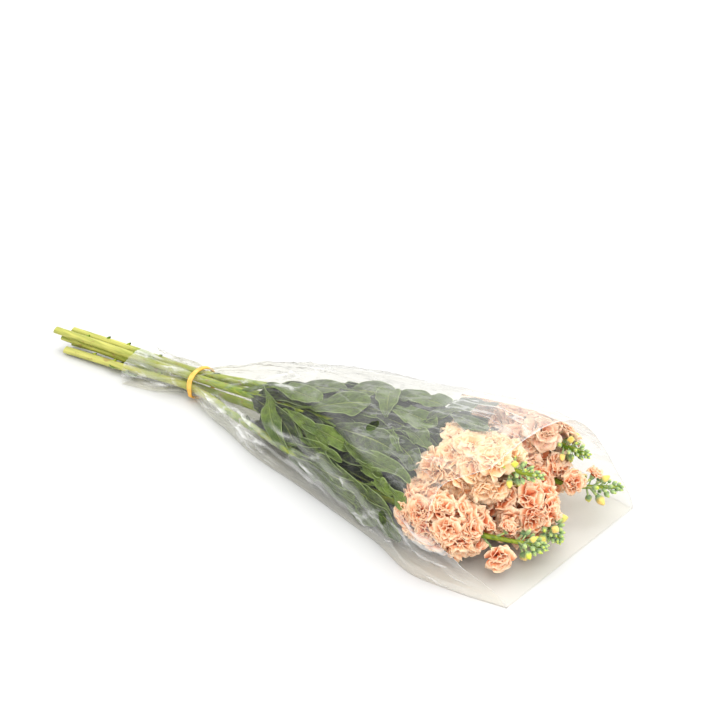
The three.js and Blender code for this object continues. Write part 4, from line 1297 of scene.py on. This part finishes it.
# Florets
PETAL_COLUMNS = 11
PETAL_ROWS = 7
PETAL_LENGTH = 0.0215
PETAL_WIDTH = 0.0220
PETAL_RUFFLE = 0.0026
PETAL_THICKNESS = 0.00025
PETAL_CURL = (-0.5, 0.8)
PETAL_CUP = (-0.35, 0.75)
PETAL_WAVES = (1.8, 3.4)
PETAL_LEAN = (-0.3, 0.3)
PETAL_CLAW = 0.14
PETAL_ROUNDING = 0.17
PETAL_NOTCH = 0.05
PETAL_LENGTHS = (0.84, 1.08)
PETAL_WIDTHS = (0.82, 1.12)
TURN_SCATTER = 1.1
OPENING_SCATTER = 0.8
TINT_SCATTER = 0.6
PETAL_ROOM = 0.0018
# Rings of petals from the outside in: count, opening from the axis in radians, length, width, ruffle
PETAL_RINGS = (
    (6, 1.3, 0.98, 1.0, 1.0),
    (5, 0.98, 1.0, 1.0, 1.1),
    (5, 0.66, 0.96, 0.92, 1.15),
    (4, 0.34, 0.88, 0.8, 1.1),
    (2, 0.12, 0.78, 0.66, 1.0),
)


def add_petal(shaper, base, frame_of, turn, opening, length, width, ruffle, draw, tint):
    """A petal that rises along the floret's axis and opens outwards, crumpled at its rim."""
    axis, first, second = frame_of
    radial = first * math.cos(turn) + second * math.sin(turn)
    across = axis.cross(radial)
    phase, second_phase = draw() * TURN, draw() * TURN
    curl, cup = lerp(*PETAL_CURL, draw()), lerp(*PETAL_CUP, draw())
    waves, lean = lerp(*PETAL_WAVES, draw()), lerp(*PETAL_LEAN, draw())
    spine = [(0.0008, 0.0, 0.1)]
    for row in range(PETAL_ROWS):
        share = (row + 0.5) / PETAL_ROWS
        angle = lerp(0.1, opening, smooth(0.05, 0.7, share)) + curl * smooth(0.55, 1.0, share)
        out, up, _ = spine[-1]
        step = length / PETAL_ROWS
        spine.append((out + step * math.sin(angle), up + step * math.cos(angle), angle))

    def place(side, along):
        out, up, angle = spine[round(along * PETAL_ROWS)]
        half = width / 2 * lerp(PETAL_CLAW, 1.0, smooth(0.05, 0.7, along))
        drawn_back = PETAL_ROUNDING * length * side**4 * smooth(0.55, 1.0, along)
        notch = PETAL_NOTCH * length * bell(side - lean, 0.3) * smooth(0.8, 1.0, along)
        wave = math.sin(waves * side + phase) + 0.7 * math.sin(waves * 1.9 * side + second_phase + 4 * along)
        wave += 0.5 * along**2 * math.sin(waves * 4.1 * side + phase * 3)
        rise = cup * half * side**2 + ruffle * along**1.7 * wave
        along_spine = radial * math.sin(angle) + axis * math.cos(angle)
        face = axis * math.sin(angle) - radial * math.cos(angle)
        here = base + radial * out + axis * up + across * (half * (side + lean * along * 0.4))
        return press(here + face * rise - along_spine * (drawn_back + notch), PETAL_ROOM)

    shaper.sheet(PETAL_COLUMNS, PETAL_ROWS, place, tint)


def add_floret(shaper, base, axis, size, draw, tint):
    first = axis.orthogonal().normalized()
    frame_of = (axis, first, axis.cross(first))
    start = draw() * TURN
    for ring, (count, opening, length, width, ruffle) in enumerate(PETAL_RINGS):
        for i in range(count):
            turn = start + (i + 0.5 * (ring % 2)) * TURN / count + (draw() - 0.5) * TURN_SCATTER
            add_petal(
                shaper, base, frame_of, turn,
                opening + (draw() - 0.5) * OPENING_SCATTER,
                PETAL_LENGTH * size * length * lerp(*PETAL_LENGTHS, draw()),
                PETAL_WIDTH * size * width * lerp(*PETAL_WIDTHS, draw()),
                PETAL_RUFFLE * size * ruffle,
                draw,
                min(1.0, max(0.0, tint + (draw() - 0.5) * TINT_SCATTER)),
            )


FLORET_LEAN = (-0.22, 0.85)
FLORET_TURN = 0.6
BLOOM_ENDS = 0.06
FLORET_DEPTHS = (0.7, 1.1)
FLORET_SIZES = (0.86, 1.1)
FLORET_SCATTER = 0.3
FLORET_SHRINK = 0.2
CORE_RADIUS = 0.0095
CORE_ENDS = (0.06, 0.94)
CORE_SIDES = 14
CORE_ROWS = 10
CORE_TINT = 0.123
NEAR_AND_DOWN = Vector((0.2, -0.7, -0.68))
FULL_SAG = 0.045
LEAST_FULL = 0.9
FULLEST = 1.12


def make_bloom(key):
    """Florets in a spiral round the stem, round a core that fills in for their stalks."""
    shaper = Shaper()
    route = ROUTES[key]
    draw = make_draw(ord(key) * 17)
    first, last = (route.share_at(x) for x in STEMS[key]["bloom"])
    count = STEMS[key]["florets"]
    for i in range(count):
        share = (i + 0.5) / count
        along = lerp(first, last, lerp(BLOOM_ENDS, 1 - BLOOM_ENDS, share))
        tangent = route.tangent(along)
        lean = lerp(*FLORET_LEAN, share) + (draw() - 0.5) * FLORET_SCATTER
        out = sideways(tangent, i * GOLDEN_ANGLE + FLORET_TURN)
        full = STEMS[key]["fullness"]
        base = route.at(along) + out * (FLORET_SEAT * full * math.cos(lean) * lerp(*FLORET_DEPTHS, draw()))
        sag = (min(full, FULLEST) - LEAST_FULL) * FULL_SAG
        base += NEAR_AND_DOWN * (sag * max(0.0, out.dot(NEAR_AND_DOWN)))
        axis = leaning(out, tangent, lean)
        size = full * (1.0 - FLORET_SHRINK * max(0.0, share - 0.5)) * lerp(*FLORET_SIZES, draw())
        add_floret(shaper, base, axis, size, draw, draw())

    def heart(along, turn):
        return CORE_RADIUS * math.sin(math.pi * lerp(*CORE_ENDS, along)) ** 0.7

    def line(share):
        return route.at(lerp(first, last, share))

    add_stalk(shaper, line, heart, CORE_SIDES, CORE_ROWS, CORE_TINT)
    petal = {"a": PALE_PETAL, "b": BLUSH_PETAL}.get(key, PEACH_PETAL)
    shaper.done(f"petals_{key}", [petal], [f"bloom_{key}"], thickness=PETAL_THICKNESS)


# Buds
BUDS_PER_TIP = 30
RIPE_BUDS = 7
RIPE_GROWTH = 1.5
RIPE_REACH = 1.3
BUD_RADIUS = 0.0025
BUD_SIDES = 12
BUD_RINGS = 9
BUD_RIBS = 0.13
BUD_POINTS = 0.03
BUD_TAPER = 0.35
BUD_LEAN = (0.45, 1.25)
BUD_STALK = (0.0084, 0.0030)
BUD_STALK_RADIUS = 0.0008
BUD_SCATTER = 0.4
BUDS_EARLIER = 0.004
BUDS_END = 0.995
BUD_SIZE = (1.0, 0.5)
BUD_SIZES = (0.85, 1.15)


def add_bud(shaper, base, axis, radius, length, tint):
    """A bud in its ribbed sepals, or the ribbed calyx of a floret, without its stalk."""
    first = axis.orthogonal().normalized()
    second = axis.cross(first)

    def place(unit):
        turn = math.atan2(unit.y, unit.x)
        up = (unit.z + 1) / 2
        ring = math.sqrt(max(0.0, 1 - unit.z**2))
        ribs = math.cos(4 * turn)
        reach = ring * (1.0 - BUD_TAPER * smooth(0.5, 1.0, up)) * (1 + BUD_RIBS * ribs)
        here = base + axis * (length * (up + BUD_POINTS * ribs * up**4))
        here += first * (math.cos(turn) * reach * radius)
        here += second * (math.sin(turn) * reach * radius)
        return press(here)

    shaper.ball(BUD_SIDES, BUD_RINGS, place, tint)


def make_buds(key):
    shaper = Shaper()
    route = ROUTES[key]
    start = route.share_at(STEMS[key]["buds"] - BUDS_EARLIER)
    draw = make_draw(ord(key) * 13)
    for i in range(BUDS_PER_TIP):
        share = i / (BUDS_PER_TIP - 1)
        along = lerp(start, BUDS_END, share**0.8)
        tangent = route.tangent(along)
        lean = lerp(*BUD_LEAN, share**1.5)
        out = sideways(tangent, i * GOLDEN_ANGLE + draw() * BUD_SCATTER)
        axis = leaning(out, tangent, lean)
        stalk = lerp(*BUD_STALK, share)
        root = route.at(along)
        size = lerp(*BUD_SIZE, share**0.7) * lerp(*BUD_SIZES, draw())
        ripe = i < RIPE_BUDS and i % 2 == 0
        size *= RIPE_GROWTH if ripe else 1.0
        base = root + axis * (stalk * (RIPE_REACH if ripe else 1.0))
        tint = 0.75 + draw() * 0.2 if ripe else draw() * 0.4 + 0.003 * i
        radius = BUD_STALK_RADIUS * size
        add_stalk(shaper, bend(root, root.lerp(base, 0.5), base), tapered(radius, radius), 6, 2, 0.001 * i)
        add_bud(shaper, base, axis, BUD_RADIUS * size, BUD_LENGTH * size, tint)
    shaper.done(f"buds_{key}", [BUD], [f"stem_{key}"])


LONE_SIZE = 1.12
LONE_LIFT = 0.0005
CALYX_SINK = 0.0015
CALYX_RADIUS = 0.0034
CALYX_LENGTH = 0.009
CALYX_GROWTH = 0.3


def make_lone_floret(name, key, x, base, axis, size):
    """A floret on a side stalk, cupped in its green calyx."""
    route = ROUTES[key]
    root = route.at(route.share_at(x))
    seat, axis = Vector(base), Vector(axis).normalized()
    draw = make_draw(len(name) + ord(key))
    petals = Shaper()
    add_floret(petals, seat + axis * LONE_LIFT, axis, size * LONE_SIZE, draw, draw())
    petals.done(f"petals_{name}", [PEACH_PETAL], [name], thickness=PETAL_THICKNESS)
    calyx = Shaper()
    sag = root.lerp(seat, STALK_BEND) - axis * STALK_SAG
    radius = STALK_RADIUS * 0.8
    add_stalk(calyx, bend(root, sag, seat), tapered(radius, radius), 10, 10, 0.3)
    full = size + CALYX_GROWTH
    add_bud(calyx, seat - axis * CALYX_SINK, axis, CALYX_RADIUS * full, CALYX_LENGTH * full, 0.0)
    calyx.done(f"calyx_{name}", [BUD], [f"stem_{key}"])


make_sleeve()
make_band()
for key in STEMS:
    make_stem(key)
    make_leaves(key)
    make_bloom(key)
    make_buds(key)
for name, floret in LONE_FLORETS.items():
    make_lone_floret(name, *floret)


# Stage: floor, lights and camera
FLOOR_SIZE = 30.0
FLOOR_DROP = 0.0006
# Soft lights: name, azimuth and elevation in degrees, distance and size in metres, power in watts
LIGHTS = (
    ("key_light", 200.0, 64.0, 2.4, 2.6, 26.0),
    ("side_light", 55.0, 48.0, 2.6, 2.0, 28.0),
)
LIGHTS_AIM = Vector((0.05, 0.0, 0.0))
SKY_STRENGTH = 1.36
SENSOR_WIDTH = 36.0
CLIP_END = 50.0


def make_floor():
    bpy.ops.mesh.primitive_plane_add(size=FLOOR_SIZE, location=(0.0, 0.0, -FLOOR_DROP))
    floor = bpy.context.active_object
    floor.name = "floor"
    floor.data.materials.append(floor_finish())


def stand(name, data, aim, azimuth, elevation, distance):
    """An object that looks at a place from a distance, its direction given in degrees."""
    a, e = math.radians(azimuth), math.radians(elevation)
    towards = Vector((math.sin(a) * math.cos(e), -math.cos(a) * math.cos(e), math.sin(e)))
    made = bpy.data.objects.new(name, data)
    made.location = aim + towards * distance
    made.rotation_mode = "QUATERNION"
    made.rotation_quaternion = towards.to_track_quat("Z", "Y")
    bpy.context.scene.collection.objects.link(made)
    return made


def make_stage():
    make_floor()
    for name, azimuth, elevation, distance, size, power in LIGHTS:
        light = bpy.data.lights.new(name, "AREA")
        light.shape = "DISK"
        light.size = size
        light.energy = power
        stand(name, light, LIGHTS_AIM, azimuth, elevation, distance)
    scene = bpy.context.scene
    scene.world = bpy.data.worlds.new("studio")
    scene.world.use_nodes = True
    sky = scene.world.node_tree.nodes["Background"].inputs
    sky["Color"].default_value = (1.0, 1.0, 1.0, 1.0)
    sky["Strength"].default_value = SKY_STRENGTH
    camera = bpy.data.cameras.new("camera")
    camera.lens = CAMERA_LENS
    camera.sensor_width = SENSOR_WIDTH
    camera.clip_end = CLIP_END
    scene.camera = stand(
        "camera", camera, CAMERA_AIM, CAMERA_AZIMUTH, CAMERA_ELEVATION, CAMERA_DISTANCE,
    )
    scene.view_settings.view_transform = "Standard"


make_stage()
